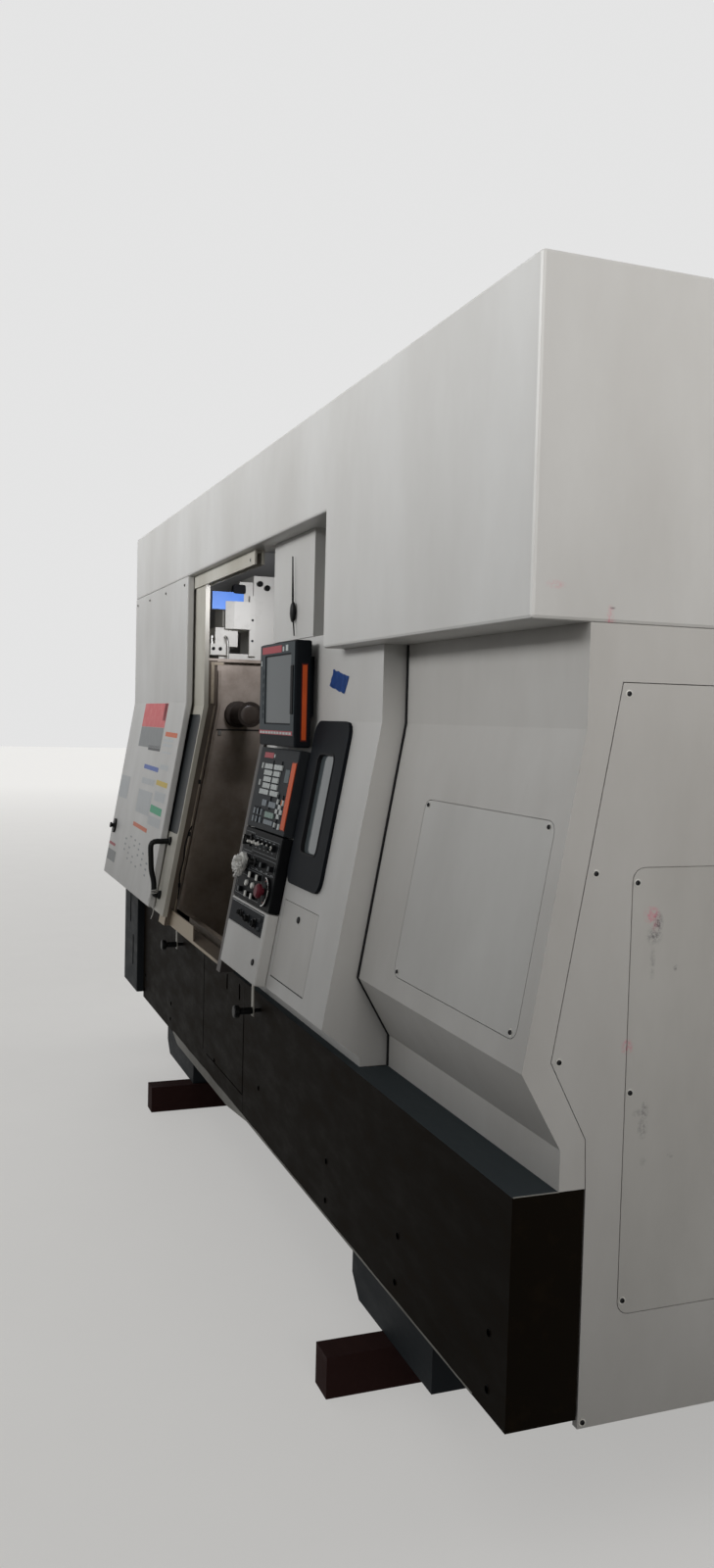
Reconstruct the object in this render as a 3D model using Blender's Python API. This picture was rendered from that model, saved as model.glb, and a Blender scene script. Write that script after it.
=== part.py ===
"""A CNC turning lathe: a long, slant-fronted turning centre with a sliding front door.

The machine is drawn in a frame of its own: X = 0 is its right end and it runs to -X,
Y = 0 is the front of the top hood with +Y to the back, and Z = 0 is the floor.
One empty carries every piece. At the end it is moved, so that the middle of the
machine's footprint lies at the origin. All lengths are in metres.
"""

import math

import bmesh
import bpy
from mathutils import Matrix, Vector

for item in list(bpy.data.objects):
    bpy.data.objects.remove(item, do_unlink=True)

# Clearances
GAP = 0.0003
SEAM = 0.002
DARK_JOINT = 0.004

# The front, from the right end to the left
RIGHT_BODY_WIDTH = 0.994
CENTRE_WIDTH = 1.118
DOOR_OPENING_WIDTH = 1.171
LEFT_COVER_WIDTH = 1.330
BODY_DEPTH = 1.960
LEDGE_Z = 0.826
HOOD_TOP_Z = 2.800

# Distances from the right end that follow from the widths
CENTRE_RIGHT_S = RIGHT_BODY_WIDTH + DARK_JOINT
OPENING_RIGHT_S = RIGHT_BODY_WIDTH + CENTRE_WIDTH
OPENING_LEFT_S = OPENING_RIGHT_S + DOOR_OPENING_WIDTH
LENGTH = OPENING_LEFT_S + LEFT_COVER_WIDTH


def level(share):
    """A height on the machine's front, where 0 is its ledge and 1 the top of its hood."""
    return LEDGE_Z + share * (HOOD_TOP_Z - LEDGE_Z)


def depth(share):
    """A place inside the machine, where 0 is the front of its hood and 1 its back."""
    return share * BODY_DEPTH


def between(high, low, share):
    """The value at a share of the way from the high edge of a piece to its low edge."""
    return high + share * (low - high)


# Top hood
HOOD_LOW_Z = level(0.61905)
HOOD_RAISED_Z = level(0.83131)
HOOD_LOW_LENGTH = 1.340
HOOD_SHEET = 0.020
HOOD_RETURN = 0.100

# Right body, seen from its end
COVER_WALL = 0.020
RIGHT_FACE_Y = 0.142
RIGHT_BEND_Z = level(0.50456)
RIGHT_NOSE_Y = 0.013
RIGHT_NOSE_Z = level(0.13374)
RIGHT_HEEL_Y = 0.112
RIGHT_HEEL_Z = level(0.04610)
END_SEAM_TOP_Y = 0.226
END_SEAM_TOP_Z = level(0.55674)
END_SEAM_NOSE_Y = 0.081
END_SEAM_NOSE_Z = level(0.14387)
END_SEAM_HEEL_Y = 0.172
END_SEAM_HEEL_Z = level(0.05522)
END_SEAM_FOOT_Y = 0.176
END_COVER_BOTTOM_Z = 0.288
END_PANEL_FRONT_Y = 0.268
END_PANEL_TO_BACK = 0.640
END_PANEL_BACK_Y = BODY_DEPTH - END_PANEL_TO_BACK
END_PANEL_BOTTOM_Z = 0.530
END_PANEL_TOP_Z = level(0.35461)
PANEL_CORNER = 0.030
PANEL_RECESS = 0.006
ACCESS_FROM_END = 0.053
ACCESS_WIDTH = 0.699
ACCESS_BOTTOM_Z = level(0.16160)
ACCESS_TOP_Z = level(0.40324)

# Centre cover, with the window, the hatch and the operator panel
CENTRE_FACE_Y = 0.070
CENTRE_BEND_Z = level(0.50557)
CENTRE_NOSE_Y = -0.092
CENTRE_NOSE_Z = level(0.05826)
CENTRE_HEEL_Y = 0.027
CENTRE_HEEL_Z = level(0.01368)
CENTRE_TOP_Z = level(0.64691)
CENTRE_SIDE_DEPTH = 0.220
RECESS_WALL_Y = 0.250
WINDOW_FROM_JOINT = 0.387
WINDOW_CENTRE_S = CENTRE_RIGHT_S + WINDOW_FROM_JOINT
WINDOW_GLASS_WIDTH = 0.163
WINDOW_BOTTOM_Z = level(0.28825)
WINDOW_TOP_Z = level(0.45238)
WINDOW_BORDER = 0.083
WINDOW_BORDER_HIGH = 0.104
WINDOW_FRAME_THICK = 0.012
WINDOW_GLASS_THICK = 0.008
WINDOW_GLASS_LAP = 0.008
HATCH_FROM_JOINT = 0.205
HATCH_RIGHT_S = CENTRE_RIGHT_S + HATCH_FROM_JOINT
HATCH_WIDTH = 0.345
HATCH_BOTTOM_Z = level(0.08156)
HATCH_TOP_Z = level(0.20821)
HATCH_THICK = 0.012
HATCH_POCKET_DEPTH = 0.045
HATCH_LOCK_DROP = 0.043
LOCK_RADIUS = 0.011
LOCK_HEIGHT = 0.005
UPPER_BOX_WIDTH = 0.464
UPPER_BOX_DEPTH = 0.330
ANTENNA_TO_OPENING = 0.262
ANTENNA_S = OPENING_RIGHT_S - ANTENNA_TO_OPENING
ANTENNA_BODY_Z = level(0.69605)
ANTENNA_BODY_HALF = 0.037
ANTENNA_WHIP_TOP_Z = level(0.79483)
ANTENNA_TAIL_Z = level(0.65350)

# Operator panel
PANEL_TO_OPENING = 0.537
PANEL_RIGHT_S = OPENING_RIGHT_S - PANEL_TO_OPENING
PANEL_WIDTH = 0.455
PANEL_THICK = 0.040
DISPLAY_WIDTH = 0.415
DISPLAY_BOTTOM_Z = level(0.45897)
DISPLAY_TOP_Z = level(0.63880)
DISPLAY_FRONT_Y = -0.012
DISPLAY_BODY_DEPTH = 0.057
DISPLAY_NECK_INSET = 0.050
SCREEN_WIDTH = 0.304
SCREEN_RIGHT_MARGIN = 0.045
SCREEN_TOP_MARGIN = 0.046
SCREEN_BOTTOM_MARGIN = 0.079
SCREEN_RECESS = 0.004
KEYBOARD_BOTTOM_Z = level(0.30598)
KEYBOARD_TOP_Z = level(0.45086)
CONTROL_BOTTOM_Z = level(0.17832)
CONTROL_TOP_Z = level(0.30395)
LOWER_BOX_BOTTOM_Z = level(0.05674)
LOWER_BOX_TOP_Z = level(0.17629)
PORT_RECESS = 0.003
KEY_HEIGHT = 0.004
KEY_SIZE = 0.022
KEY_PITCH = 0.0285

# Base
SKIRT_BOTTOM_Z = 0.310
SKIRT_SHEET = 0.012
SKIRT_FLANGE = 0.050
SKIRT_END_DEPTH = 0.174
SKIRT_SEAM_OFFSET = 0.053
SKIRT_RIGHT_LENGTH = OPENING_RIGHT_S + SKIRT_SEAM_OFFSET
CORNER_COVER_WIDTH = 0.393
SKIRT_LEFT_END_S = LENGTH - CORNER_COVER_WIDTH
SKIRT_LEDGE_DEEP = 0.200
SKIRT_LEDGE_SHALLOW = 0.045
SKIRT_GRIP_HEIGHT = 0.066
SKIRT_GRIP_WIDTH = 0.020
CORNER_COVER_FRONT_Y = -0.036
CORNER_COVER_DEPTH = 0.286
CORNER_COVER_TOP_Z = level(0.03749)
CORNER_COVER_BOTTOM_Z = 0.335
VENT_WIDTH = 0.030
VENT_HEIGHT = 0.170
VENT_DEPTH = 0.012
BEAM_HEIGHT = 0.115
BEAM_WIDTH = 0.091
BEAM_FRONT_Y = -0.140
BEAM_BACK_REACH = 0.340
BEAM_BACK_Y = BODY_DEPTH + BEAM_BACK_REACH
LEFT_BEAM_INSET = 0.011
LEFT_BEAM_S = OPENING_LEFT_S - LEFT_BEAM_INSET
RIGHT_BEAM_S = 0.795
LEG_WIDTH = 0.590
LEG_TAPER = 0.060
LEG_DEPTH = 0.420
LEFT_LEG_INSET = 0.043
LEFT_LEG_S = OPENING_LEFT_S - LEFT_LEG_INSET
RIGHT_LEG_S = 0.500
BED_FRONT_Y = 0.056
BED_RIGHT_S = 0.300
BED_LEFT_S = SKIRT_LEFT_END_S
BED_BOTTOM_Z = 0.330
BED_DECK_Z = 0.600

# Spindle line, ways and the room around them
CARRIAGE_INSET = 0.060
HEAD_CLEARANCE = 0.030
RAM_END_CLEARANCE = 0.005
CARRIAGE_BACK_Y = BODY_DEPTH - CARRIAGE_INSET
CARRIAGE_FRONT_Y = depth(0.69898)
SADDLE_FRONT_Y = depth(0.53571)
RAM_FRONT_Y = SADDLE_FRONT_Y - HEAD_CLEARANCE
RAM_BACK_Y = CARRIAGE_FRONT_Y - RAM_END_CLEARANCE
ROOM_BACK_Y = SADDLE_FRONT_Y - HEAD_CLEARANCE
AXIS_Y = depth(0.36735)
AXIS_Z = level(0.22999)
WAY_Z = 0.680
WAY_WIDTH = 0.100
WAY_SPREAD = 0.320
REAR_BED_FRONT_Y = depth(0.76531)
REAR_BED_INSET = 0.080
REAR_BED_BACK_Y = BODY_DEPTH - REAR_BED_INSET
REAR_WAY_Z = level(0.35664)
REAR_WAY_WIDTH = 0.060
REAR_WAY_HEIGHT = 0.030
ROOM_RIGHT_GAP = 0.028
ROOM_RIGHT_S = RIGHT_BODY_WIDTH + ROOM_RIGHT_GAP
ROOM_LEFT_RUN = 0.217
ROOM_LEFT_S = OPENING_LEFT_S + ROOM_LEFT_RUN
ROOM_FRONT_Y = 0.150
ROOM_SHEET = 0.015
ROOM_FLOOR_Z = 0.690
ROOM_TOP_Z = level(0.61499)
ROOM_DOORWAY_Z = level(0.03242)
ROOM_LEFT_TOP_Z = level(0.64792)
ROOM_FLANGE = 0.030
ROOM_REAR_WALL_Z = level(0.24012)
ROOM_SLOT_WIDTH = 0.340

# Sliding door, its rail and the frame of the opening
DOOR_REACH = 0.1701
DOOR_BEND_Z = level(0.53141)
DOOR_FACE_Y = 0.040
DOOR_THICK = 0.020
DOOR_NARROWER = 0.022
DOOR_WIDTH = LEFT_COVER_WIDTH - DOOR_NARROWER
DOOR_EDGE_SHOWS = 0.187
DOOR_EDGE_S = OPENING_LEFT_S - DOOR_EDGE_SHOWS
DOOR_BOTTOM_Z = level(0.05268)
DOOR_LEAN = DOOR_REACH / (DOOR_BEND_Z - DOOR_BOTTOM_Z)
DOOR_TOP_Z = level(0.82168)
DOOR_WINDOW_WIDTH = 0.735
DOOR_WINDOW_MARGIN = 0.015
DOOR_WINDOW_BOTTOM_Z = level(0.23708)
DOOR_WINDOW_TOP_Z = level(0.51114)
DOOR_WINDOW_THICK = 0.016
HANDLE_RADIUS = 0.0125
HANDLE_INSET = 0.129
HANDLE_TOP_Z = level(0.21682)
HANDLE_BOTTOM_Z = level(0.09220)
HANDLE_REACH = 0.093
RAIL_BOTTOM_Z = level(0.80243)
RAIL_WALL = 0.010
RAIL_FRONT_WALL = 0.008
RAIL_RIGHT_INSET = 0.148
RAIL_RIGHT_S = OPENING_RIGHT_S + RAIL_RIGHT_INSET
RAIL_LEFT_INSET = 0.055
RAIL_LEFT_S = LENGTH - RAIL_LEFT_INSET
FRAME_FACE_Y = 0.066
FRAME_DEPTH = 0.046
FRAME_LEFT_INSET = 0.013
FRAME_LEFT_JAMB = 0.124
FRAME_RIGHT_JAMB = 0.050
FRAME_TOP_Z = level(0.63526)
SILL_FRONT_Y = -0.085
SILL_BACK_Y = -0.015
SILL_BOTTOM_Z = level(0.02736)
SILL_TOP_Z = level(0.03394)
LIP_THICK = 0.006
LIP_TO_OPENING = 0.568
LIP_TOP_Z = level(0.06535)

# Left front cover
LEFT_COVER_THICK = 0.030
LEFT_COVER_BEND_Z = level(0.53901)
LEFT_COVER_BOTTOM_Z = level(0.06028)
LEFT_COVER_REACH = 0.1607
LEFT_COVER_LEAN = LEFT_COVER_REACH / (LEFT_COVER_BEND_Z - LEFT_COVER_BOTTOM_Z)
PULL_KNOB_FROM_END = 0.103
PULL_KNOB_Z = level(0.19453)
PULL_KNOB_RADIUS = 0.039
PULL_KNOB_LENGTH = 0.030

# Straps with clamp knobs
LEFT_STRAP_INSET = 0.021
LEFT_STRAP_S = OPENING_LEFT_S - LEFT_STRAP_INSET
RIGHT_STRAP_INSET = 0.162
RIGHT_STRAP_S = OPENING_RIGHT_S - RIGHT_STRAP_INSET
STRAP_WIDTH = 0.026
STRAP_THICK = 0.004
STRAP_Y = -0.030
STRAP_DROP = 0.076
STRAP_BOTTOM_Z = LEDGE_Z - STRAP_DROP
STRAP_HOLE_RADIUS = 0.0075
CLAMP_ABOVE_END = 0.020
CLAMP_REACH = 0.100

# Working pieces
HEAD_BEFORE_AXIS = 0.320
HEAD_BEHIND_AXIS = 0.380
HEAD_FRONT_Y = AXIS_Y - HEAD_BEFORE_AXIS
HEAD_BACK_Y = AXIS_Y + HEAD_BEHIND_AXIS
DECK_FRONT_Y = 0.215
DECK_BEHIND_AXIS = 0.180
DECK_INSET = 0.030
DECK_TOP_Z = level(0.66312)
HEAD_SHORTER = 0.400
HEAD_LENGTH = LEFT_COVER_WIDTH - HEAD_SHORTER
HEAD_TOP_Z = level(0.46809)
# Boxes over the headstock: their s from its right side, their y, and their top
TERMINAL_BOX = ((0.010, 0.200), (0.168, 0.262), level(0.68541))
LOW_BRACKET = ((0.030, 0.180), (0.196, 0.308), level(0.72594))
BRACKET_BOX = ((0.020, 0.220), (0.239, 0.370), level(0.79027))
BRACKET_FACET = 0.040
BRACKET_FLANGE = ((0.010, 0.030), (0.361, 0.391), level(0.80648))
TOP_PANEL = ((0.050, 0.070), (0.318, 0.386), level(0.84144))
TOWER = ((0.040, 0.310), (0.396, 0.700), level(0.80699))
TOWER_HEAD = ((0.050, 0.300), (0.389, 0.690), level(0.85816))
BLUE_PLATE_Y = (0.174, 0.330)
BLUE_PLATE_LOW_Z = level(0.77001)
BLUE_PLATE_TOP_Z = level(0.81307)
BLUE_PLATE_THICK = 0.008
NOSE_RADIUS = 0.150
NOSE_LENGTH = 0.090
CHUCK_RADIUS = 0.190
CHUCK_LENGTH = 0.150
CHUCK_BORE_RADIUS = 0.050
JAW_WIDTH = 0.050
JAW_SLOT_DEPTH = 0.024
JAW_REACH = 0.050
JAW_INNER_RADIUS = 0.080
JAW_OUTER_RADIUS = 0.172
JAW_STEP_RADIUS = 0.120
TAIL_PARK = 0.258
TAIL_RIGHT_S = ROOM_RIGHT_S + TAIL_PARK
TAIL_LENGTH = 0.500
TAIL_BARREL_RADIUS = 0.140
QUILL_RADIUS = 0.070
QUILL_LENGTH = 0.120
TAIL_CENTRE_RADIUS = 0.038
TAIL_CENTRE_LENGTH = 0.150
CARRIAGE_PARK = 0.488
CARRIAGE_S = OPENING_RIGHT_S + CARRIAGE_PARK
CARRIAGE_WIDTH = 0.700
CARRIAGE_TOP_Z = level(0.89868)
SADDLE_WIDTH = 0.500
SADDLE_BOTTOM_Z = level(0.42756)
SADDLE_TOP_Z = level(0.74164)
RAM_SIZE = 0.300
RAM_Z = level(0.58460)
B_HEAD_RADIUS = 0.200
B_HEAD_DEPTH = 0.360
CARTRIDGE_RADIUS = 0.120
CARTRIDGE_BOTTOM_Z = level(0.42249)
TOOL_FLANGE_RADIUS = 0.070
CUTTER_RADIUS = 0.020
TOOL_TIP_Z = level(0.32624)
LAMP_Y = 0.300
LAMP_Z = level(0.51368)
LAMP_FLANGE_RADIUS = 0.064
LAMP_BARREL_RADIUS = 0.047
LAMP_LENGTH = 0.240
CABINET_DEPTH = 0.600
CABINET_TOP_Z = level(0.89868)
CABINET_BOTTOM_Z = 0.335
REAR_COVER_MARGIN = 0.100
REAR_COVER_THICK = 0.014


def axes_frame(x_axis, y_axis, z_axis, origin=(0.0, 0.0, 0.0)):
    """A matrix whose columns are the three axes and the origin of a drawing plane."""
    columns = Matrix((x_axis, y_axis, z_axis)).transposed().to_4x4()
    return Matrix.Translation(Vector(origin)) @ columns


# Outlines in FRONT are (x, z) and grow towards the viewer; in PROFILE they are (y, z)
# and grow along the machine; in PLAN they are (x, y) and grow upwards.
FRONT = axes_frame((1, 0, 0), (0, 0, 1), (0, -1, 0))
PROFILE = axes_frame((0, 1, 0), (0, 0, 1), (1, 0, 0))
PLAN = Matrix.Identity(4)


class Slant:
    """The drawing plane of a leaning front face, hung from its bend."""

    def __init__(self, bend_y, bend_z, foot_y, foot_z):
        up = Vector((0, bend_y - foot_y, bend_z - foot_z)).normalized()
        self.normal = Vector((0, -up.z, up.y))
        self.bend_z = bend_z
        self.rise = up.z
        self.frame = axes_frame((1, 0, 0), up, self.normal, (0, bend_y, bend_z))

    def up_to(self, z):
        """The distance along the face from the bend to height z."""
        return (z - self.bend_z) / self.rise

    def point(self, s, z, out=0.0):
        """The point of the face at distance s from the right end, at height z."""
        return self.frame @ Vector((-s, self.up_to(z), out))


RIGHT_SLANT = Slant(RIGHT_FACE_Y, RIGHT_BEND_Z, RIGHT_NOSE_Y, RIGHT_NOSE_Z)
CENTRE_SLANT = Slant(CENTRE_FACE_Y, CENTRE_BEND_Z, CENTRE_NOSE_Y, CENTRE_NOSE_Z)
DOOR_SLANT = Slant(DOOR_FACE_Y, DOOR_BEND_Z, DOOR_FACE_Y - DOOR_LEAN, DOOR_BEND_Z - 1.0)
COVER_SLANT = Slant(0.0, LEFT_COVER_BEND_Z, -LEFT_COVER_LEAN, LEFT_COVER_BEND_Z - 1.0)

machine = bpy.data.objects.new("machine_frame", None)
bpy.context.scene.collection.objects.link(machine)


def paint(name, colour, roughness, metallic=0.0, alpha=1.0):
    """A Principled BSDF material with one colour."""
    material = bpy.data.materials.new(name)
    material.use_nodes = True
    shader = material.node_tree.nodes["Principled BSDF"]
    shader.inputs["Base Color"].default_value = (*colour, 1.0)
    shader.inputs["Roughness"].default_value = roughness
    shader.inputs["Metallic"].default_value = metallic
    shader.inputs["Alpha"].default_value = alpha
    material.diffuse_color = (*colour, alpha)
    return material


LIGHT_PAINT = paint("light_grey_paint", (0.55, 0.55, 0.53), 0.45)
BLACK_PAINT = paint("black_grey_paint", (0.02, 0.02, 0.022), 0.5)
CAST_PAINT = paint("dark_cast_paint", (0.06, 0.065, 0.07), 0.6)
BEAM_PAINT = paint("red_brown_beam", (0.07, 0.03, 0.028), 0.8)
PANEL_PLASTIC = paint("black_panel_plastic", (0.025, 0.03, 0.035), 0.5)
KNOB_PLASTIC = paint("black_knob_plastic", (0.012, 0.012, 0.013), 0.45)
RED_PLASTIC = paint("red_plastic", (0.45, 0.02, 0.03), 0.4)
WHITE_PLASTIC = paint("white_plastic", (0.75, 0.75, 0.73), 0.4)
GREY_GLASS = paint("grey_green_glass", (0.22, 0.26, 0.26), 0.2)
DARK_GLASS = paint("dark_glass", (0.03, 0.032, 0.035), 0.15)
BROWN_STEEL = paint("dark_room_steel", (0.10, 0.085, 0.075), 0.45, 0.6)
BRIGHT_STEEL = paint("bright_steel", (0.6, 0.6, 0.6), 0.25, 1.0)
GREY_STEEL = paint("grey_machine_paint", (0.42, 0.42, 0.40), 0.45)
BLUE_PAINT = paint("blue_paint", (0.10, 0.28, 0.80), 0.4)


def run(near, far):
    """An X span between two distances from the right end."""
    return -far, -near


def new_object(name, mesh, material):
    """Link a mesh under the machine's frame, with one material."""
    piece = bpy.data.objects.new(name, mesh)
    mesh.materials.append(material)
    bpy.context.scene.collection.objects.link(piece)
    piece.parent = machine
    return piece


def prism(name, outline, frame, low, high, material=LIGHT_PAINT):
    """Extrude a closed outline from low to high along the third axis of its frame."""
    shape = bmesh.new()
    bottom = [shape.verts.new(frame @ Vector((u, v, low))) for u, v in outline]
    top = [shape.verts.new(frame @ Vector((u, v, high))) for u, v in outline]
    shape.faces.new(bottom)
    shape.faces.new(top)
    for index in range(len(outline)):
        following = (index + 1) % len(outline)
        shape.faces.new((bottom[index], bottom[following], top[following], top[index]))
    bmesh.ops.recalc_face_normals(shape, faces=shape.faces)
    mesh = bpy.data.meshes.new(name)
    shape.to_mesh(mesh)
    shape.free()
    return new_object(name, mesh, material)


def rectangle(left, right, low, high):
    return [(left, low), (right, low), (right, high), (left, high)]


def box(name, x_span, y_span, z_span, material=LIGHT_PAINT):
    return prism(name, rectangle(*x_span, *y_span), PLAN, *z_span, material)


def rounded(left, right, low, high, radius, steps=4):
    """A rectangle with round corners, each an arc of equal steps."""
    corners = ((right - radius, low + radius, -90), (right - radius, high - radius, 0),
               (left + radius, high - radius, 90), (left + radius, low + radius, 180))
    points = []
    for centre_u, centre_v, start in corners:
        for step in range(steps + 1):
            angle = math.radians(start + 90 * step / steps)
            points.append((centre_u + radius * math.cos(angle),
                           centre_v + radius * math.sin(angle)))
    return points


def circle(centre_u, centre_v, radius, steps):
    turn = 2 * math.pi / steps
    return [(centre_u + radius * math.cos(turn * step), centre_v + radius * math.sin(turn * step))
            for step in range(steps)]


def turned(name, rings, frame, steps, material, hollow=False):
    """Revolve (radius, height) rings about the third axis of a frame.

    A solid turning is closed by its first and last ring, and a hollow one joins
    its last ring to its first.
    """
    shape = bmesh.new()
    loops = []
    for radius, height in rings:
        loops.append([shape.verts.new(frame @ Vector((u, v, height)))
                      for u, v in circle(0.0, 0.0, radius, steps)])
    pairs = list(zip(loops, loops[1:]))
    if hollow:
        pairs.append((loops[-1], loops[0]))
    else:
        shape.faces.new(loops[0])
        shape.faces.new(loops[-1])
    for lower, upper in pairs:
        for index in range(steps):
            following = (index + 1) % steps
            shape.faces.new((lower[index], lower[following], upper[following], upper[index]))
    bmesh.ops.recalc_face_normals(shape, faces=shape.faces)
    mesh = bpy.data.meshes.new(name)
    shape.to_mesh(mesh)
    shape.free()
    piece = new_object(name, mesh, material)
    smooth(piece)
    return piece


def smooth(piece, angle=35):
    piece.data.shade_smooth()
    piece.data.set_sharp_from_angle(angle=math.radians(angle))


def bake(piece):
    """Turn a piece's modifiers into its mesh."""
    bpy.context.view_layer.update()
    evaluated = piece.evaluated_get(bpy.context.evaluated_depsgraph_get())
    mesh = bpy.data.meshes.new_from_object(evaluated)
    piece.modifiers.clear()
    piece.data = mesh


def combine(piece, tools, operation):
    """Join tools to a piece or cut them from it, one after another."""
    for tool in tools:
        modifier = piece.modifiers.new(operation.lower(), "BOOLEAN")
        modifier.operation = operation
        modifier.solver = "EXACT"
        modifier.object = tool
        bake(piece)
        bpy.data.objects.remove(tool, do_unlink=True)
    return piece


def join(piece, *tools):
    return combine(piece, tools, "UNION")


def cut(piece, *tools):
    return combine(piece, tools, "DIFFERENCE")


def soften(piece, width, segments=2):
    """Give the folded edges of a cover their small radius."""
    modifier = piece.modifiers.new("edge_radius", "BEVEL")
    modifier.width = width
    modifier.segments = segments
    modifier.limit_method = "ANGLE"
    modifier.angle_limit = math.radians(40)
    bake(piece)
    return piece


def hang_on(piece, point):
    """Put a moving piece's origin on its joint, with the piece where it was."""
    point = Vector(point)
    piece.data.transform(Matrix.Translation(-point))
    piece.location = point
    return piece


def offset_path(points, distance):
    """Move an open path sideways, to the machine's inside when it runs downwards."""
    moved = []
    directions = [(Vector(b) - Vector(a)).normalized() for a, b in zip(points, points[1:])]
    normals = [Vector((-way.y, way.x)) for way in directions]
    for index, point in enumerate(points):
        before = normals[max(index - 1, 0)]
        after = normals[min(index, len(normals) - 1)]
        middle = (before + after).normalized()
        moved.append(tuple(Vector(point) + middle * (distance / middle.dot(after))))
    return moved


def sheet_outline(points, thickness):
    """The closed section of a folded sheet whose outer side follows a path."""
    return points + offset_path(points, thickness)[::-1]


def right_profile():
    return [(RIGHT_FACE_Y, HOOD_LOW_Z - GAP), (RIGHT_FACE_Y, RIGHT_BEND_Z),
            (RIGHT_NOSE_Y, RIGHT_NOSE_Z), (RIGHT_HEEL_Y, RIGHT_HEEL_Z),
            (RIGHT_HEEL_Y, LEDGE_Z + GAP)]


def centre_profile():
    return [(CENTRE_FACE_Y, HOOD_LOW_Z - GAP), (CENTRE_FACE_Y, CENTRE_BEND_Z),
            (CENTRE_NOSE_Y, CENTRE_NOSE_Z), (CENTRE_HEEL_Y, CENTRE_HEEL_Z),
            (CENTRE_HEEL_Y, LEDGE_Z + GAP)]


def end_seam(shift=0.0):
    """The seam on the right end, from its top corner to the base."""
    return [(END_SEAM_TOP_Y + shift, END_SEAM_TOP_Z - shift),
            (END_SEAM_NOSE_Y + shift, END_SEAM_NOSE_Z),
            (END_SEAM_HEEL_Y + shift, END_SEAM_HEEL_Z),
            (END_SEAM_FOOT_Y + shift, LEDGE_Z + GAP)]


def door_y(face_y, z):
    """The front-to-back place of a sheet that is parallel to the door, at height z."""
    return face_y - DOOR_LEAN * max(DOOR_BEND_Z - z, 0.0)


def door_path(face_y, top_z, bottom_z):
    return [(face_y, top_z), (face_y, DOOR_BEND_Z), (door_y(face_y, bottom_z), bottom_z)]


def cover_path(face_y, top_z, bottom_z):
    drop = LEFT_COVER_LEAN * (LEFT_COVER_BEND_Z - bottom_z)
    return [(face_y, top_z), (face_y, LEFT_COVER_BEND_Z), (face_y - drop, bottom_z)]


def make_hood():
    """The top hood: a folded box, open below, whose right part hangs lower."""
    outline = [(0, HOOD_LOW_Z), (0, HOOD_TOP_Z), (-LENGTH, HOOD_TOP_Z), (-LENGTH, HOOD_RAISED_Z),
               (-HOOD_LOW_LENGTH, HOOD_RAISED_Z), (-HOOD_LOW_LENGTH, HOOD_LOW_Z)]
    hood = prism("hood", outline, FRONT, -BODY_DEPTH, 0)
    soften(hood, 0.008)
    sheet = HOOD_SHEET
    inside_y = (sheet, BODY_DEPTH - sheet)
    behind_return = (HOOD_RETURN, BODY_DEPTH - sheet)
    low_part = run(sheet, HOOD_LOW_LENGTH - sheet)
    raised_part = run(HOOD_LOW_LENGTH + sheet, LENGTH - sheet)
    cavity = box("cavity", run(sheet, LENGTH - sheet), inside_y,
                 (HOOD_RAISED_Z + sheet, HOOD_TOP_Z - sheet))
    low_cavity = box("low_cavity", low_part, inside_y, (HOOD_LOW_Z + sheet, HOOD_RAISED_Z + 2 * sheet))
    low_mouth = box("low_mouth", low_part, (RIGHT_FACE_Y + sheet, BODY_DEPTH - sheet),
                    (HOOD_LOW_Z - sheet, HOOD_LOW_Z + 2 * sheet))
    mouth = box("mouth", raised_part, behind_return, (HOOD_RAISED_Z - sheet, HOOD_RAISED_Z + 2 * sheet))
    return cut(hood, cavity, low_cavity, low_mouth, mouth)


def make_right_body():
    """The right front cover, its access panel, the end cover and what they enclose."""
    profile = right_profile()
    cover = prism("right_front_cover", sheet_outline(profile, COVER_WALL), PROFILE,
                  *run(0, RIGHT_BODY_WIDTH))
    seam = end_seam()
    end_outline = profile + [seam[3], seam[2], seam[1], seam[0],
                             (BODY_DEPTH, END_SEAM_TOP_Z), (BODY_DEPTH, HOOD_LOW_Z - GAP)]
    join(cover, prism("end_return", end_outline, PROFILE, *run(0, COVER_WALL)))
    access = (-(ACCESS_FROM_END + ACCESS_WIDTH), -ACCESS_FROM_END,
              RIGHT_SLANT.up_to(ACCESS_BOTTOM_Z), RIGHT_SLANT.up_to(ACCESS_TOP_Z))
    recess = prism("recess", rounded(*access, PANEL_CORNER), RIGHT_SLANT.frame, -PANEL_RECESS, 0.01)
    cut(cover, recess)
    flush_plate("right_access_panel", access, RIGHT_SLANT.frame)

    inner = end_seam(SEAM)
    outline = [(END_SEAM_FOOT_Y + SEAM, END_COVER_BOTTOM_Z)] + inner[::-1] + [
        (BODY_DEPTH, END_SEAM_TOP_Z - SEAM), (BODY_DEPTH, END_COVER_BOTTOM_Z)]
    end_cover = prism("right_end_cover", outline, PROFILE, *run(0, COVER_WALL))
    panel = (END_PANEL_FRONT_Y, END_PANEL_BACK_Y, END_PANEL_BOTTOM_Z, END_PANEL_TOP_Z)
    cut(end_cover, prism("recess", rounded(*panel, PANEL_CORNER), PROFILE, -PANEL_RECESS, 0.01))
    flush_plate("right_end_panel", panel, PROFILE)

    shell = offset_path(profile, COVER_WALL + GAP)
    ways_y = SKIRT_LEDGE_DEEP + COVER_WALL
    top_z = HOOD_LOW_Z - GAP
    core = shell + [(ways_y, LEDGE_Z + GAP), (ways_y, WAY_Z + GAP),
                    (REAR_BED_FRONT_Y - COVER_WALL, WAY_Z + GAP),
                    (REAR_BED_FRONT_Y - COVER_WALL, REAR_WAY_Z + GAP),
                    (BODY_DEPTH, REAR_WAY_Z + GAP), (BODY_DEPTH, top_z)]
    prism("magazine_housing", core, PROFILE, *run(COVER_WALL + GAP, RIGHT_BODY_WIDTH))


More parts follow.
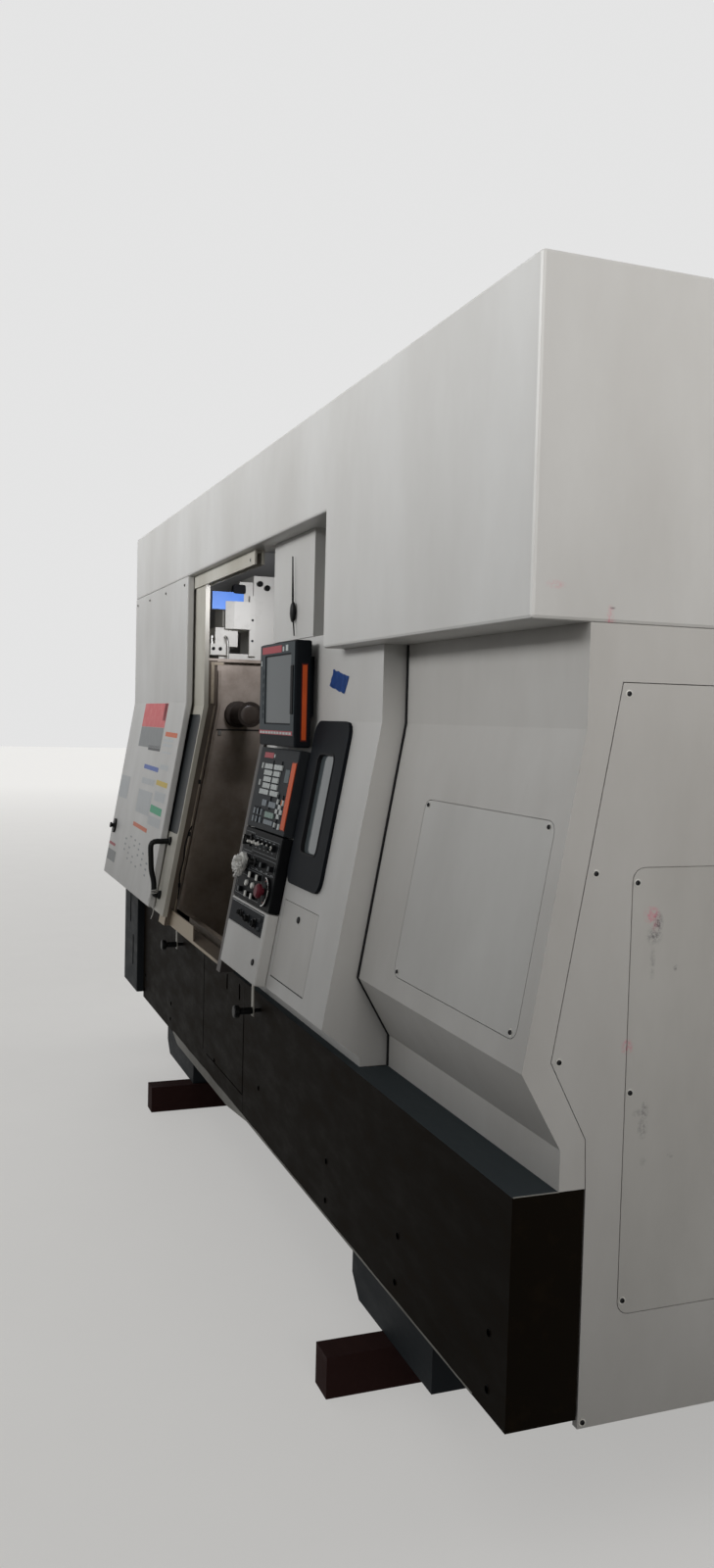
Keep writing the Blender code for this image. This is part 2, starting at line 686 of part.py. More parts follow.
def flush_plate(name, edges, frame):
    """A bolted sheet that lies flush in its recess, with an even seam around it."""
    left, right, low, high = edges
    outline = rounded(left + SEAM, right - SEAM, low + SEAM, high - SEAM, PANEL_CORNER - SEAM)
    return prism(name, outline, frame, -PANEL_RECESS + GAP, 0)


def make_centre_cover():
    """The folded centre cover with its window opening and the pocket of the hatch."""
    profile = centre_profile()
    left_s = OPENING_RIGHT_S - SEAM
    step_s = HOOD_LOW_LENGTH + DARK_JOINT
    cover = prism("centre_cover", sheet_outline(profile, COVER_WALL), PROFILE,
                  *run(CENTRE_RIGHT_S, left_s))
    right_side = profile + [(CENTRE_SIDE_DEPTH, LEDGE_Z + GAP), (CENTRE_SIDE_DEPTH, HOOD_LOW_Z - GAP)]
    left_side = sheet_outline(profile, 1.5 * COVER_WALL)
    neck = HOOD_LOW_Z - COVER_WALL / 4
    top_bend = [(CENTRE_FACE_Y, neck), (CENTRE_FACE_Y, CENTRE_TOP_Z),
                (RECESS_WALL_Y + COVER_WALL, CENTRE_TOP_Z),
                (RECESS_WALL_Y + COVER_WALL, CENTRE_TOP_Z - COVER_WALL),
                (CENTRE_FACE_Y + COVER_WALL, CENTRE_TOP_Z - COVER_WALL),
                (CENTRE_FACE_Y + COVER_WALL, neck)]
    recess_wall = rectangle(RECESS_WALL_Y, RECESS_WALL_Y + COVER_WALL,
                            CENTRE_TOP_Z - COVER_WALL, HOOD_RAISED_Z - GAP)
    box_right_s = OPENING_RIGHT_S - UPPER_BOX_WIDTH
    pocket = (-(HATCH_RIGHT_S + HATCH_WIDTH), -HATCH_RIGHT_S,
              CENTRE_SLANT.up_to(HATCH_BOTTOM_Z), CENTRE_SLANT.up_to(HATCH_TOP_Z))
    around = (pocket[0] - COVER_WALL, pocket[1] + COVER_WALL,
              pocket[2] - COVER_WALL, pocket[3] + COVER_WALL)
    join(cover,
         prism("right_side", right_side, PROFILE, *run(CENTRE_RIGHT_S, CENTRE_RIGHT_S + COVER_WALL)),
         prism("left_side", left_side, PROFILE, *run(left_s - COVER_WALL, left_s)),
         prism("top_bend", top_bend, PROFILE, *run(step_s, left_s)),
         prism("recess_wall", recess_wall, PROFILE,
               *run(step_s + COVER_WALL / 2, box_right_s - DARK_JOINT)),
         prism("pocket_wall", rectangle(*around), CENTRE_SLANT.frame,
               -HATCH_POCKET_DEPTH - COVER_WALL, -COVER_WALL / 2))
    lap = WINDOW_GLASS_LAP
    half = WINDOW_GLASS_WIDTH / 2 + lap
    glass_hole = (-WINDOW_CENTRE_S - half, -WINDOW_CENTRE_S + half,
                  CENTRE_SLANT.up_to(WINDOW_BOTTOM_Z) - lap, CENTRE_SLANT.up_to(WINDOW_TOP_Z) + lap)
    return cut(cover,
               prism("glass_hole", rounded(*glass_hole, PANEL_CORNER), CENTRE_SLANT.frame, -0.1, 0.1),
               prism("pocket", rectangle(*pocket), CENTRE_SLANT.frame, -HATCH_POCKET_DEPTH, 0.1))


def make_window():
    """The fixed window: a dark frame screwed over the cover, with the glass behind it."""
    lap = WINDOW_GLASS_LAP
    half = WINDOW_GLASS_WIDTH / 2
    low = CENTRE_SLANT.up_to(WINDOW_BOTTOM_Z)
    high = CENTRE_SLANT.up_to(WINDOW_TOP_Z)
    left, right = -WINDOW_CENTRE_S - half, -WINDOW_CENTRE_S + half
    outer = rounded(left - WINDOW_BORDER, right + WINDOW_BORDER,
                    low - WINDOW_BORDER_HIGH, high + WINDOW_BORDER_HIGH, 1.5 * PANEL_CORNER)
    frame = prism("window_frame", outer, CENTRE_SLANT.frame, GAP, WINDOW_FRAME_THICK, PANEL_PLASTIC)
    cut(frame, prism("light", rounded(left, right, low, high, PANEL_CORNER),
                     CENTRE_SLANT.frame, -0.1, 0.1))
    pane = rounded(left - lap + GAP, right + lap - GAP, low - lap + GAP, high + lap - GAP,
                   PANEL_CORNER - GAP)
    prism("window_glass", pane, CENTRE_SLANT.frame, -WINDOW_GLASS_THICK, 0, GREY_GLASS)


def make_hatch():
    """The service hatch, hinged along its lower edge, and its lock."""
    low = CENTRE_SLANT.up_to(HATCH_BOTTOM_Z) + GAP
    high = CENTRE_SLANT.up_to(HATCH_TOP_Z) - SEAM
    left, right = -(HATCH_RIGHT_S + HATCH_WIDTH) + SEAM, -HATCH_RIGHT_S - SEAM
    hatch = prism("service_hatch", rectangle(left, right, low, high), CENTRE_SLANT.frame,
                  -HATCH_THICK, 0)
    middle_s = HATCH_RIGHT_S + HATCH_WIDTH / 2
    hinge = CENTRE_SLANT.frame @ Vector((-middle_s, low, 0))
    hang_on(hatch, hinge)
    make_lock("hatch_lock", middle_s, HATCH_TOP_Z - HATCH_LOCK_DROP, 0.0)


def facing(slant, s, z, out):
    """A frame that stands on a leaning face, its third axis pointing out of it."""
    return Matrix.Translation(slant.point(s, z, out)) @ slant.frame.to_3x3().to_4x4()


def make_lock(name, s, z, out):
    """A small cylinder lock with a key slot, turned about the face's normal."""
    frame = facing(CENTRE_SLANT, s, z, out)
    rings = [(LOCK_RADIUS, GAP), (LOCK_RADIUS, 0.6 * LOCK_HEIGHT), (0.8 * LOCK_RADIUS, LOCK_HEIGHT)]
    lock = turned(name, rings, frame, 20, BRIGHT_STEEL)
    slot = rectangle(-0.1 * LOCK_RADIUS, 0.1 * LOCK_RADIUS, -0.6 * LOCK_RADIUS, 0.6 * LOCK_RADIUS)
    cut(lock, prism("key_slot", slot, frame, 0.4 * LOCK_HEIGHT, 2 * LOCK_HEIGHT))
    smooth(lock)
    hang_on(lock, frame.translation)


def make_upper_box():
    """The box over the centre cover, with the small whip antenna on its front."""
    high = HOOD_RAISED_Z - GAP
    upper = box("upper_box", run(OPENING_RIGHT_S - UPPER_BOX_WIDTH, OPENING_RIGHT_S + 0.008),
                (CENTRE_FACE_Y, CENTRE_FACE_Y + UPPER_BOX_DEPTH), (CENTRE_TOP_Z + SEAM, high))
    cut(upper, box("behind", run(0, LENGTH), (RECESS_WALL_Y, BODY_DEPTH),
                   (CENTRE_TOP_Z - SEAM, CENTRE_TOP_Z + SEAM + GAP)))
    soften(upper, 0.004)
    make_antenna()


def make_antenna():
    """A whip on an oval foot, with its tail lead running down to the seam."""
    radius_y = 0.010
    wide = 0.018
    foot_y = CENTRE_FACE_Y - GAP - radius_y
    frame = axes_frame((1, 0, 0), (0, 1, 0), (0, 0, 1), (-ANTENNA_S, foot_y, ANTENNA_BODY_Z))
    squeeze = Matrix.Diagonal((wide, radius_y, 1.0, 1.0))
    count = 9
    rings = []
    for step in range(count + 1):
        angle = math.radians(-80 + 160 * step / count)
        rings.append((math.cos(angle), ANTENNA_BODY_HALF * math.sin(angle)))
    antenna = turned("antenna", rings, frame @ squeeze, 12, KNOB_PLASTIC)
    lean = -0.015 / (ANTENNA_WHIP_TOP_Z - ANTENNA_BODY_Z)
    whip_frame = frame @ Matrix.Shear("XY", 4, (lean, 0.0))
    whip = turned("whip", [(0.0040, 0.5 * ANTENNA_BODY_HALF), (0.0040, 1.5 * ANTENNA_BODY_HALF),
                           (0.0022, ANTENNA_WHIP_TOP_Z - ANTENNA_BODY_Z)], whip_frame, 8, KNOB_PLASTIC)
    tail = turned("tail", [(0.0024, ANTENNA_TAIL_Z - ANTENNA_BODY_Z), (0.0028, -0.5 * ANTENNA_BODY_HALF)],
                  frame @ Matrix.Shear("XY", 4, (-0.25, 0.0)), 8, KNOB_PLASTIC)
    join(antenna, whip, tail)
    smooth(antenna)


def make_display():
    """The display unit: a flat box on a short neck, with the screen let into it."""
    right_s, left_s = PANEL_RIGHT_S, PANEL_RIGHT_S + DISPLAY_WIDTH
    back_y = DISPLAY_FRONT_Y + DISPLAY_BODY_DEPTH
    unit = box("display_unit", run(right_s, left_s), (DISPLAY_FRONT_Y, back_y),
               (DISPLAY_BOTTOM_Z, DISPLAY_TOP_Z), PANEL_PLASTIC)
    soften(unit, 0.006)
    inset = DISPLAY_NECK_INSET
    neck = box("neck", run(right_s + inset, left_s - inset),
               (back_y - 0.01, CENTRE_FACE_Y - GAP), (CENTRE_BEND_Z + inset / 4, DISPLAY_TOP_Z - inset),
               PANEL_PLASTIC)
    join(unit, neck)
    top = DISPLAY_TOP_Z - SCREEN_TOP_MARGIN
    near = right_s + SCREEN_RIGHT_MARGIN
    edges = (-(near + SCREEN_WIDTH), -near, DISPLAY_BOTTOM_Z + SCREEN_BOTTOM_MARGIN, top)
    face = axes_frame((1, 0, 0), (0, 0, 1), (0, -1, 0), (0, DISPLAY_FRONT_Y, 0))
    cut(unit, prism("screen_recess", rectangle(*edges), face, -SCREEN_RECESS, 0.01))
    left, right, low, high = edges
    prism("display_screen", rectangle(left + GAP, right - GAP, low + GAP, high - GAP), face,
          -SCREEN_RECESS + GAP, -0.001, GREY_GLASS)


def panel_block(name, low_z, high_z, material):
    """One unit of the operator panel, lying on the leaning centre cover."""
    outline = rectangle(-(PANEL_RIGHT_S + PANEL_WIDTH), -PANEL_RIGHT_S,
                        CENTRE_SLANT.up_to(low_z), CENTRE_SLANT.up_to(high_z))
    unit = prism(name, outline, CENTRE_SLANT.frame, GAP, PANEL_THICK, material)
    return soften(unit, 0.004)


def key_block(s, z, wide, high, proud=KEY_HEIGHT):
    """The outline box of one key or switch on the operator panel."""
    up = CENTRE_SLANT.up_to(z)
    outline = rectangle(-s - wide / 2, -s + wide / 2, up - high / 2, up + high / 2)
    return prism("key", outline, CENTRE_SLANT.frame, PANEL_THICK - 0.001, PANEL_THICK + proud)


def key_z(share):
    return between(KEYBOARD_TOP_Z, KEYBOARD_BOTTOM_Z, share)


def make_keyboard():
    """The keyboard unit, whose keys are moulded on its one flexible mat."""
    unit = panel_block("keyboard_unit", KEYBOARD_BOTTOM_Z, KEYBOARD_TOP_Z, PANEL_PLASTIC)
    keys = []
    for row in range(5):
        for column in range(2):
            s = PANEL_RIGHT_S + 0.205 + 0.100 * column + 0.006 * row
            keys.append(key_block(s, key_z(0.182 + 0.0787 * row), 0.086, 0.016))
    for row in range(2):
        for column in range(3):
            s = PANEL_RIGHT_S + 0.335 + KEY_PITCH * column
            keys.append(key_block(s, key_z(0.783 + 0.105 * row), 0.014, 0.024))
    for row in range(3):
        keys.append(key_block(PANEL_RIGHT_S + 0.250, key_z(0.615 + 0.098 * row), 0.070, 0.018))
    arrow_s = PANEL_RIGHT_S + 0.115
    for step_s, step_z in ((0, 1), (0, -1), (1, 0), (-1, 0), (0, 0)):
        keys.append(key_block(arrow_s + 0.026 * step_s, key_z(0.755 - 0.084 * step_z), KEY_SIZE, 0.020))
    for column in range(2):
        keys.append(key_block(PANEL_RIGHT_S + 0.075 + 0.050 * column, key_z(0.913), 0.018, 0.018))
        keys.append(key_block(PANEL_RIGHT_S + 0.085 + 0.050 * column, key_z(0.573), 0.018, 0.018))
    join(unit, *keys)


def button_bore(s, z, radius):
    """The cutter of the bore that a push button runs in."""
    frame = facing(CENTRE_SLANT, s, z, PANEL_THICK)
    return turned("bore", [(radius + GAP, -0.018), (radius + GAP, 0.02)], frame, 20, PANEL_PLASTIC)


def switch_z(share):
    return between(CONTROL_TOP_Z, CONTROL_BOTTOM_Z, share)


# The pieces on the control panel: distance from its right side, height, radius
STOP_BUTTON = (0.072, switch_z(0.758), 0.012)
START_BUTTON = (0.305, switch_z(0.758), 0.011)
HOLD_BUTTON = (0.228, switch_z(0.758), 0.011)
HAND_WHEEL = (0.372, switch_z(0.500), 0.036)
FEED_KNOB = (0.362, switch_z(0.173), 0.022)
SPEED_KNOB = (0.255, switch_z(0.444), 0.016)


def make_control_panel():
    """The control panel with its switches, and the bores of the three push buttons."""
    panel = panel_block("control_panel", CONTROL_BOTTOM_Z, CONTROL_TOP_Z, PANEL_PLASTIC)
    switches = []
    for column in range(5):
        s = PANEL_RIGHT_S + 0.070 + 0.052 * column
        switches.append(key_block(s, switch_z(0.173), 0.018, 0.022, 0.012))
    for s, share in ((0.052, 0.444), (0.150, 0.435), (0.165, 0.621), (0.255, 0.621),
                     (0.190, 0.891), (0.262, 0.891), (0.360, 0.871)):
        switches.append(key_block(PANEL_RIGHT_S + s, switch_z(share), 0.018, 0.018, 0.012))
    join(panel, *switches)
    from_side, z, radius = STOP_BUTTON
    collar_frame = facing(CENTRE_SLANT, PANEL_RIGHT_S + from_side, z, PANEL_THICK)
    join(panel, turned("collar", [(0.034, -0.002), (0.034, 0.006), (0.030, 0.009)],
                       collar_frame, 28, PANEL_PLASTIC))
    for from_side, z, radius in (STOP_BUTTON, START_BUTTON, HOLD_BUTTON):
        cut(panel, button_bore(PANEL_RIGHT_S + from_side, z, radius))


def make_controls():
    """The turning and sliding controls, each with its origin on its own axis."""
    head = STOP_BUTTON[2]
    add_control("emergency_stop", STOP_BUTTON, RED_PLASTIC, 24,
                [(head, -0.006), (head, 0.017), (0.024, 0.020), (0.025, 0.030), (0.019, 0.037)])
    for name, place, material in (("cycle_start_button", START_BUTTON, WHITE_PLASTIC),
                                  ("feed_hold_button", HOLD_BUTTON, WHITE_PLASTIC)):
        radius = place[2]
        add_control(name, place, material, 20,
                    [(radius, -0.010), (radius, 0.007), (0.8 * radius, 0.009)])
    wheel = add_control("handwheel", HAND_WHEEL, WHITE_PLASTIC, 28,
                        [(0.7 * HAND_WHEEL[2], GAP), (HAND_WHEEL[2], 0.008), (HAND_WHEEL[2], 0.022),
                         (0.8 * HAND_WHEEL[2], 0.026)])
    crank = turned("crank", [(0.008, 0.020), (0.011, 0.034), (0.010, 0.050), (0.006, 0.054)],
                   Matrix.Translation((0.022, 0.012, 0.0)), 14, WHITE_PLASTIC)
    crank.data.transform(CENTRE_SLANT.frame.to_3x3().to_4x4())
    crank.location = wheel.location
    join_in_place(wheel, crank)
    for name, place in (("feed_override_knob", FEED_KNOB), ("speed_override_knob", SPEED_KNOB)):
        radius = place[2]
        knob = add_control(name, place, KNOB_PLASTIC, 20,
                           [(radius, GAP), (radius, 0.006), (0.75 * radius, 0.010),
                            (0.70 * radius, 0.024), (0.60 * radius, 0.026)])
        grip = prism("grip", rectangle(-0.18 * radius, 0.18 * radius, -0.8 * radius, 0.8 * radius),
                     Matrix.Identity(4), 0.020, 0.030, KNOB_PLASTIC)
        grip.data.transform(CENTRE_SLANT.frame.to_3x3().to_4x4())
        grip.location = knob.location
        join_in_place(knob, grip)


def join_in_place(piece, extra):
    """Join a second shape to a piece that already has its origin on a joint."""
    join(piece, extra)
    smooth(piece)


def add_control(name, place, material, steps, rings):
    from_side, z, _radius = place
    frame = facing(CENTRE_SLANT, PANEL_RIGHT_S + from_side, z, PANEL_THICK)
    control = turned(name, rings, frame, steps, material)
    return hang_on(control, frame.translation)


def make_lower_box():
    """The white lower box of the operator panel, with a recess for its port plate."""
    unit = panel_block("pendant_box", LOWER_BOX_BOTTOM_Z, LOWER_BOX_TOP_Z, LIGHT_PAINT)
    top = CENTRE_SLANT.up_to(LOWER_BOX_TOP_Z)
    plate = rectangle(-(PANEL_RIGHT_S + PANEL_WIDTH) - 0.01, -PANEL_RIGHT_S - 0.030,
                      top - 0.088, top - 0.006)
    cut(unit, prism("port_recess", plate, CENTRE_SLANT.frame, PANEL_THICK - PORT_RECESS, 0.1))
    lock_z = between(LOWER_BOX_TOP_Z, LOWER_BOX_BOTTOM_Z, 0.716)
    make_lock("pendant_lock", PANEL_RIGHT_S + 0.060, lock_z, PANEL_THICK)


def make_skirt():
    """The black base skirt in two runs, folded at its ledge and at its foot."""
    sheet = SKIRT_SHEET
    low, high = SKIRT_BOTTOM_Z, LEDGE_Z

    def section(ledge):
        return [(0, low), (0, high), (ledge, high), (ledge, high - sheet), (sheet, high - sheet),
                (sheet, low + sheet), (SKIRT_FLANGE, low + sheet), (SKIRT_FLANGE, low)]

    right = prism("base_skirt_right", section(SKIRT_LEDGE_SHALLOW), PROFILE,
                  *run(0, SKIRT_RIGHT_LENGTH - SEAM / 2), BLACK_PAINT)
    deep = box("deep_ledge", run(COVER_WALL + GAP, RIGHT_BODY_WIDTH), (0.01, SKIRT_LEDGE_DEEP),
               (high - sheet, high), BLACK_PAINT)
    end = box("end", run(0, COVER_WALL), (0, SKIRT_END_DEPTH), (low, high), BLACK_PAINT)
    join(right, deep, end)
    left = prism("base_skirt_left", section(SKIRT_LEDGE_SHALLOW), PROFILE,
                 *run(SKIRT_RIGHT_LENGTH + SEAM / 2, SKIRT_LEFT_END_S), BLACK_PAINT)
    for s in (SKIRT_RIGHT_LENGTH + 0.075, SKIRT_RIGHT_LENGTH + 0.265):
        grip = rounded(-s - SKIRT_GRIP_WIDTH / 2, -s + SKIRT_GRIP_WIDTH / 2,
                       high - 0.022 - SKIRT_GRIP_HEIGHT, high - 0.022, SKIRT_GRIP_WIDTH / 2.1)
        cut(left, prism("grip", grip, FRONT, -0.7 * sheet, 0.01))


def make_corner_cover():
    """The vented cover at the foot of the left front corner."""
    near, far = SKIRT_LEFT_END_S + DARK_JOINT, LENGTH
    cover = box("left_corner_cover", run(near, far),
                (CORNER_COVER_FRONT_Y, CORNER_COVER_FRONT_Y + CORNER_COVER_DEPTH),
                (CORNER_COVER_BOTTOM_Z, CORNER_COVER_TOP_Z), CAST_PAINT)
    soften(cover, 0.004)
    front = axes_frame((1, 0, 0), (0, 0, 1), (0, -1, 0), (0, CORNER_COVER_FRONT_Y, 0))
    for s, top in ((near + 0.21, CORNER_COVER_TOP_Z - 0.05), (near + 0.12, CORNER_COVER_TOP_Z - 0.27)):
        vent = rounded(-s - VENT_WIDTH / 2, -s + VENT_WIDTH / 2, top - VENT_HEIGHT, top,
                       VENT_WIDTH / 2.1)
        cut(cover, prism("vent", vent, front, -VENT_DEPTH, 0.01))


def make_bed():
    """The cast bed: deck, two front ways, the rear way block and four tapered legs."""
    front_way = AXIS_Y - WAY_SPREAD / 2
    back_way = AXIS_Y + WAY_SPREAD / 2
    rail_foot = REAR_WAY_Z - REAR_WAY_HEIGHT
    front_rail = REAR_BED_FRONT_Y + 0.020
    back_rail = REAR_BED_BACK_Y - 0.020
    outline = [(BED_FRONT_Y, BED_BOTTOM_Z), (BED_FRONT_Y, BED_DECK_Z - 0.080),
               (front_way, BED_DECK_Z), (front_way, WAY_Z), (front_way + WAY_WIDTH, WAY_Z),
               (front_way + WAY_WIDTH, BED_DECK_Z), (back_way - WAY_WIDTH, BED_DECK_Z),
               (back_way - WAY_WIDTH, WAY_Z), (back_way, WAY_Z), (back_way, BED_DECK_Z),
               (REAR_BED_FRONT_Y, BED_DECK_Z), (REAR_BED_FRONT_Y, rail_foot),
               (front_rail, rail_foot), (front_rail, REAR_WAY_Z),
               (front_rail + REAR_WAY_WIDTH, REAR_WAY_Z), (front_rail + REAR_WAY_WIDTH, rail_foot),
               (back_rail - REAR_WAY_WIDTH, rail_foot), (back_rail - REAR_WAY_WIDTH, REAR_WAY_Z),
               (back_rail, REAR_WAY_Z), (back_rail, rail_foot), (REAR_BED_BACK_Y, rail_foot),
               (REAR_BED_BACK_Y, BED_DECK_Z), (BODY_DEPTH, BED_DECK_Z), (BODY_DEPTH, BED_BOTTOM_Z)]
    bed = prism("bed_casting", outline, PROFILE, *run(BED_RIGHT_S, BED_LEFT_S), CAST_PAINT)
    legs = []
    for near in (RIGHT_LEG_S, LEFT_LEG_S):
        leg = [(-near, BED_BOTTOM_Z + 0.05), (-near, BEAM_HEIGHT + GAP),
               (-near - LEG_WIDTH + LEG_TAPER, BEAM_HEIGHT + GAP),
               (-near - LEG_WIDTH, BEAM_HEIGHT + LEG_TAPER), (-near - LEG_WIDTH, BED_BOTTOM_Z + 0.05)]
        for front_y in (BED_FRONT_Y, BODY_DEPTH - LEG_DEPTH):
            legs.append(prism("leg", leg, FRONT, -front_y - LEG_DEPTH, -front_y, CAST_PAINT))
    join(bed, *legs)
    for name, s in (("support_beam_left", LEFT_BEAM_S), ("support_beam_right", RIGHT_BEAM_S)):
        box(name, run(s - BEAM_WIDTH / 2, s + BEAM_WIDTH / 2), (BEAM_FRONT_Y, BEAM_BACK_Y),
            (0, BEAM_HEIGHT), BEAM_PAINT)


def make_left_cover():
    """The fixed left front cover that the door slides behind, with its pull knob."""
    path = cover_path(0.0, HOOD_RAISED_Z - GAP, LEFT_COVER_BOTTOM_Z)
    cover = prism("left_cover", sheet_outline(path, LEFT_COVER_THICK), PROFILE,
                  *run(OPENING_LEFT_S, LENGTH))
    soften(cover, 0.005)
    frame = facing(COVER_SLANT, LENGTH - PULL_KNOB_FROM_END, PULL_KNOB_Z, 0.0)
    turned("left_cover_knob", [(PULL_KNOB_RADIUS, GAP), (PULL_KNOB_RADIUS, 0.010), (0.012, 0.014),
                               (0.010, PULL_KNOB_LENGTH - 0.012), (0.016, PULL_KNOB_LENGTH - 0.006),
                               (0.014, PULL_KNOB_LENGTH)], frame, 20, KNOB_PLASTIC)


def make_left_end():
    """The end cover at the machine's left, behind the front cover."""
    front = cover_path(LEFT_COVER_THICK + GAP, HOOD_RAISED_Z - GAP, LEFT_COVER_BOTTOM_Z)
    corner_back = CORNER_COVER_FRONT_Y + CORNER_COVER_DEPTH + GAP
    corner_top = CORNER_COVER_TOP_Z + GAP
    outline = offset_path(front, GAP) + [
        (CORNER_COVER_FRONT_Y, corner_top), (corner_back, corner_top),
        (corner_back, CORNER_COVER_BOTTOM_Z), (BODY_DEPTH, CORNER_COVER_BOTTOM_Z),
        (BODY_DEPTH, HOOD_RAISED_Z - GAP)]
    prism("left_end_cover", outline, PROFILE, *run(LENGTH - COVER_WALL, LENGTH))


def make_door():
    """The sliding door leaf with its window and bow handle, and the rail it hangs in."""
    near, far = DOOR_EDGE_S, DOOR_EDGE_S + DOOR_WIDTH
    middle = Vector((-near, DOOR_FACE_Y, DOOR_TOP_Z))
    leaf = prism("door_leaf", sheet_outline(door_path(DOOR_FACE_Y, DOOR_TOP_Z, DOOR_BOTTOM_Z),
                                            DOOR_THICK), PROFILE, *run(near, far))
    window = (-(near + DOOR_WINDOW_MARGIN + DOOR_WINDOW_WIDTH), -(near + DOOR_WINDOW_MARGIN),
              DOOR_SLANT.up_to(DOOR_WINDOW_BOTTOM_Z), DOOR_SLANT.up_to(DOOR_WINDOW_TOP_Z))
    cut(leaf, prism("window_hole", rounded(*window, PANEL_CORNER), DOOR_SLANT.frame, -0.1, 0.1))
    hang_on(leaf, middle)
    left, right, low, high = window
    pane = rounded(left + GAP, right - GAP, low + GAP, high - GAP, PANEL_CORNER - GAP)
    glass = prism("door_window", pane, DOOR_SLANT.frame, -DOOR_WINDOW_THICK, -0.002, DARK_GLASS)
    hang_on(glass, middle)
    handle = make_handle()
    hang_on(handle, middle)

    front_y = DOOR_FACE_Y - GAP
    back_y = DOOR_FACE_Y + DOOR_THICK + GAP
    high_z = HOOD_RAISED_Z - GAP
    channel = [(front_y - RAIL_FRONT_WALL, RAIL_BOTTOM_Z), (front_y - RAIL_FRONT_WALL, high_z),
               (back_y + RAIL_WALL, high_z), (back_y + RAIL_WALL, RAIL_BOTTOM_Z),
               (back_y, RAIL_BOTTOM_Z), (back_y, high_z - RAIL_WALL),
               (front_y, high_z - RAIL_WALL), (front_y, RAIL_BOTTOM_Z)]
    prism("door_rail", channel, PROFILE, *run(RAIL_RIGHT_S, RAIL_LEFT_S))


def handle_route():
    """The centre line of the bow, straight out of the leaf, down and back in."""
    top = DOOR_SLANT.point(0, HANDLE_TOP_Z)
    foot = DOOR_SLANT.point(0, HANDLE_BOTTOM_Z)
    reach = HANDLE_REACH
    waist_y = foot.y - 0.32 * reach
    corners = [Vector((top.y + 0.002, top.z)), Vector((top.y - reach, top.z)),
               Vector((top.y - 0.94 * reach, between(top.z, foot.z, 0.55))),
               Vector((waist_y, between(top.z, foot.z, 0.75))),
               Vector((waist_y, foot.z)), Vector((foot.y + 0.002, foot.z))]
    return round_corners(corners, 0.030, 4)


def round_corners(corners, radius, steps):
    """Replace each inner corner of a path by a curve that leaves its sides smoothly."""
    points = [corners[0]]
    for before, corner, after in zip(corners, corners[1:], corners[2:]):
        cut_in = min(radius, 0.45 * (before - corner).length, 0.45 * (after - corner).length)
        start = corner + (before - corner).normalized() * cut_in
        end = corner + (after - corner).normalized() * cut_in
        for step in range(steps + 1):
            t = step / steps
            points.append((1 - t) ** 2 * start + 2 * t * (1 - t) * corner + t ** 2 * end)
    points.append(corners[-1])
    return points


def make_handle():
    """A round bar swept along the bow, standing on two round feet."""
    s = DOOR_EDGE_S + HANDLE_INSET
    route = handle_route()
    shape = bmesh.new()
    loops = []
    for index, point in enumerate(route):
        before = route[max(index - 1, 0)]
        after = route[min(index + 1, len(route) - 1)]
        along = (after - before).normalized()
        side = Vector((-along.y, along.x))
        loops.append([shape.verts.new((-s + u, point.x + v * side.x, point.y + v * side.y))
                      for u, v in circle(0, 0, HANDLE_RADIUS, 12)])
    shape.faces.new(loops[0])
    shape.faces.new(loops[-1])
    for lower, upper in zip(loops, loops[1:]):
        for index in range(12):
            following = (index + 1) % 12
            shape.faces.new((lower[index], lower[following], upper[following], upper[index]))
    bmesh.ops.recalc_face_normals(shape, faces=shape.faces)
    mesh = bpy.data.meshes.new("door_handle")
    shape.to_mesh(mesh)
    shape.free()
    handle = new_object("door_handle", mesh, KNOB_PLASTIC)
    for z in (HANDLE_TOP_Z, HANDLE_BOTTOM_Z):
        foot = turned("foot", [(0.020, GAP), (0.020, 0.008), (0.016, 0.012)],
                      facing(DOOR_SLANT, s, z, 0.0), 20, KNOB_PLASTIC)
        join(handle, foot)
    behind = prism("behind_face", rectangle(-s - 0.1, -s + 0.1, -2.0, 0.5), DOOR_SLANT.frame, -0.1, GAP)
    cut(handle, behind)
    smooth(handle, 50)
    return handle


def make_opening_frame():
    """The frame around the door opening: two jambs and a thin sill with a lip."""
    near = OPENING_RIGHT_S - SEAM + GAP
    far = OPENING_LEFT_S - FRAME_LEFT_INSET
    path = door_path(FRAME_FACE_Y, FRAME_TOP_Z, SILL_BOTTOM_Z)
    section = path + [(y + FRAME_DEPTH, z) for y, z in path[::-1]]
    frame = prism("opening_frame", section, PROFILE, *run(far - FRAME_LEFT_JAMB, far), BROWN_STEEL)
    sill = rectangle(SILL_FRONT_Y, SILL_BACK_Y, SILL_BOTTOM_Z, SILL_TOP_Z)
    lip = rectangle(SILL_FRONT_Y, SILL_FRONT_Y + LIP_THICK, SILL_BOTTOM_Z, LIP_TOP_Z)
    return join(frame,
                prism("right_jamb", section, PROFILE, *run(near, near + FRAME_RIGHT_JAMB), BROWN_STEEL),
                prism("sill", sill, PROFILE, *run(near, far), BROWN_STEEL),
                prism("lip", lip, PROFILE, *run(OPENING_RIGHT_S + LIP_TO_OPENING, far), BROWN_STEEL))


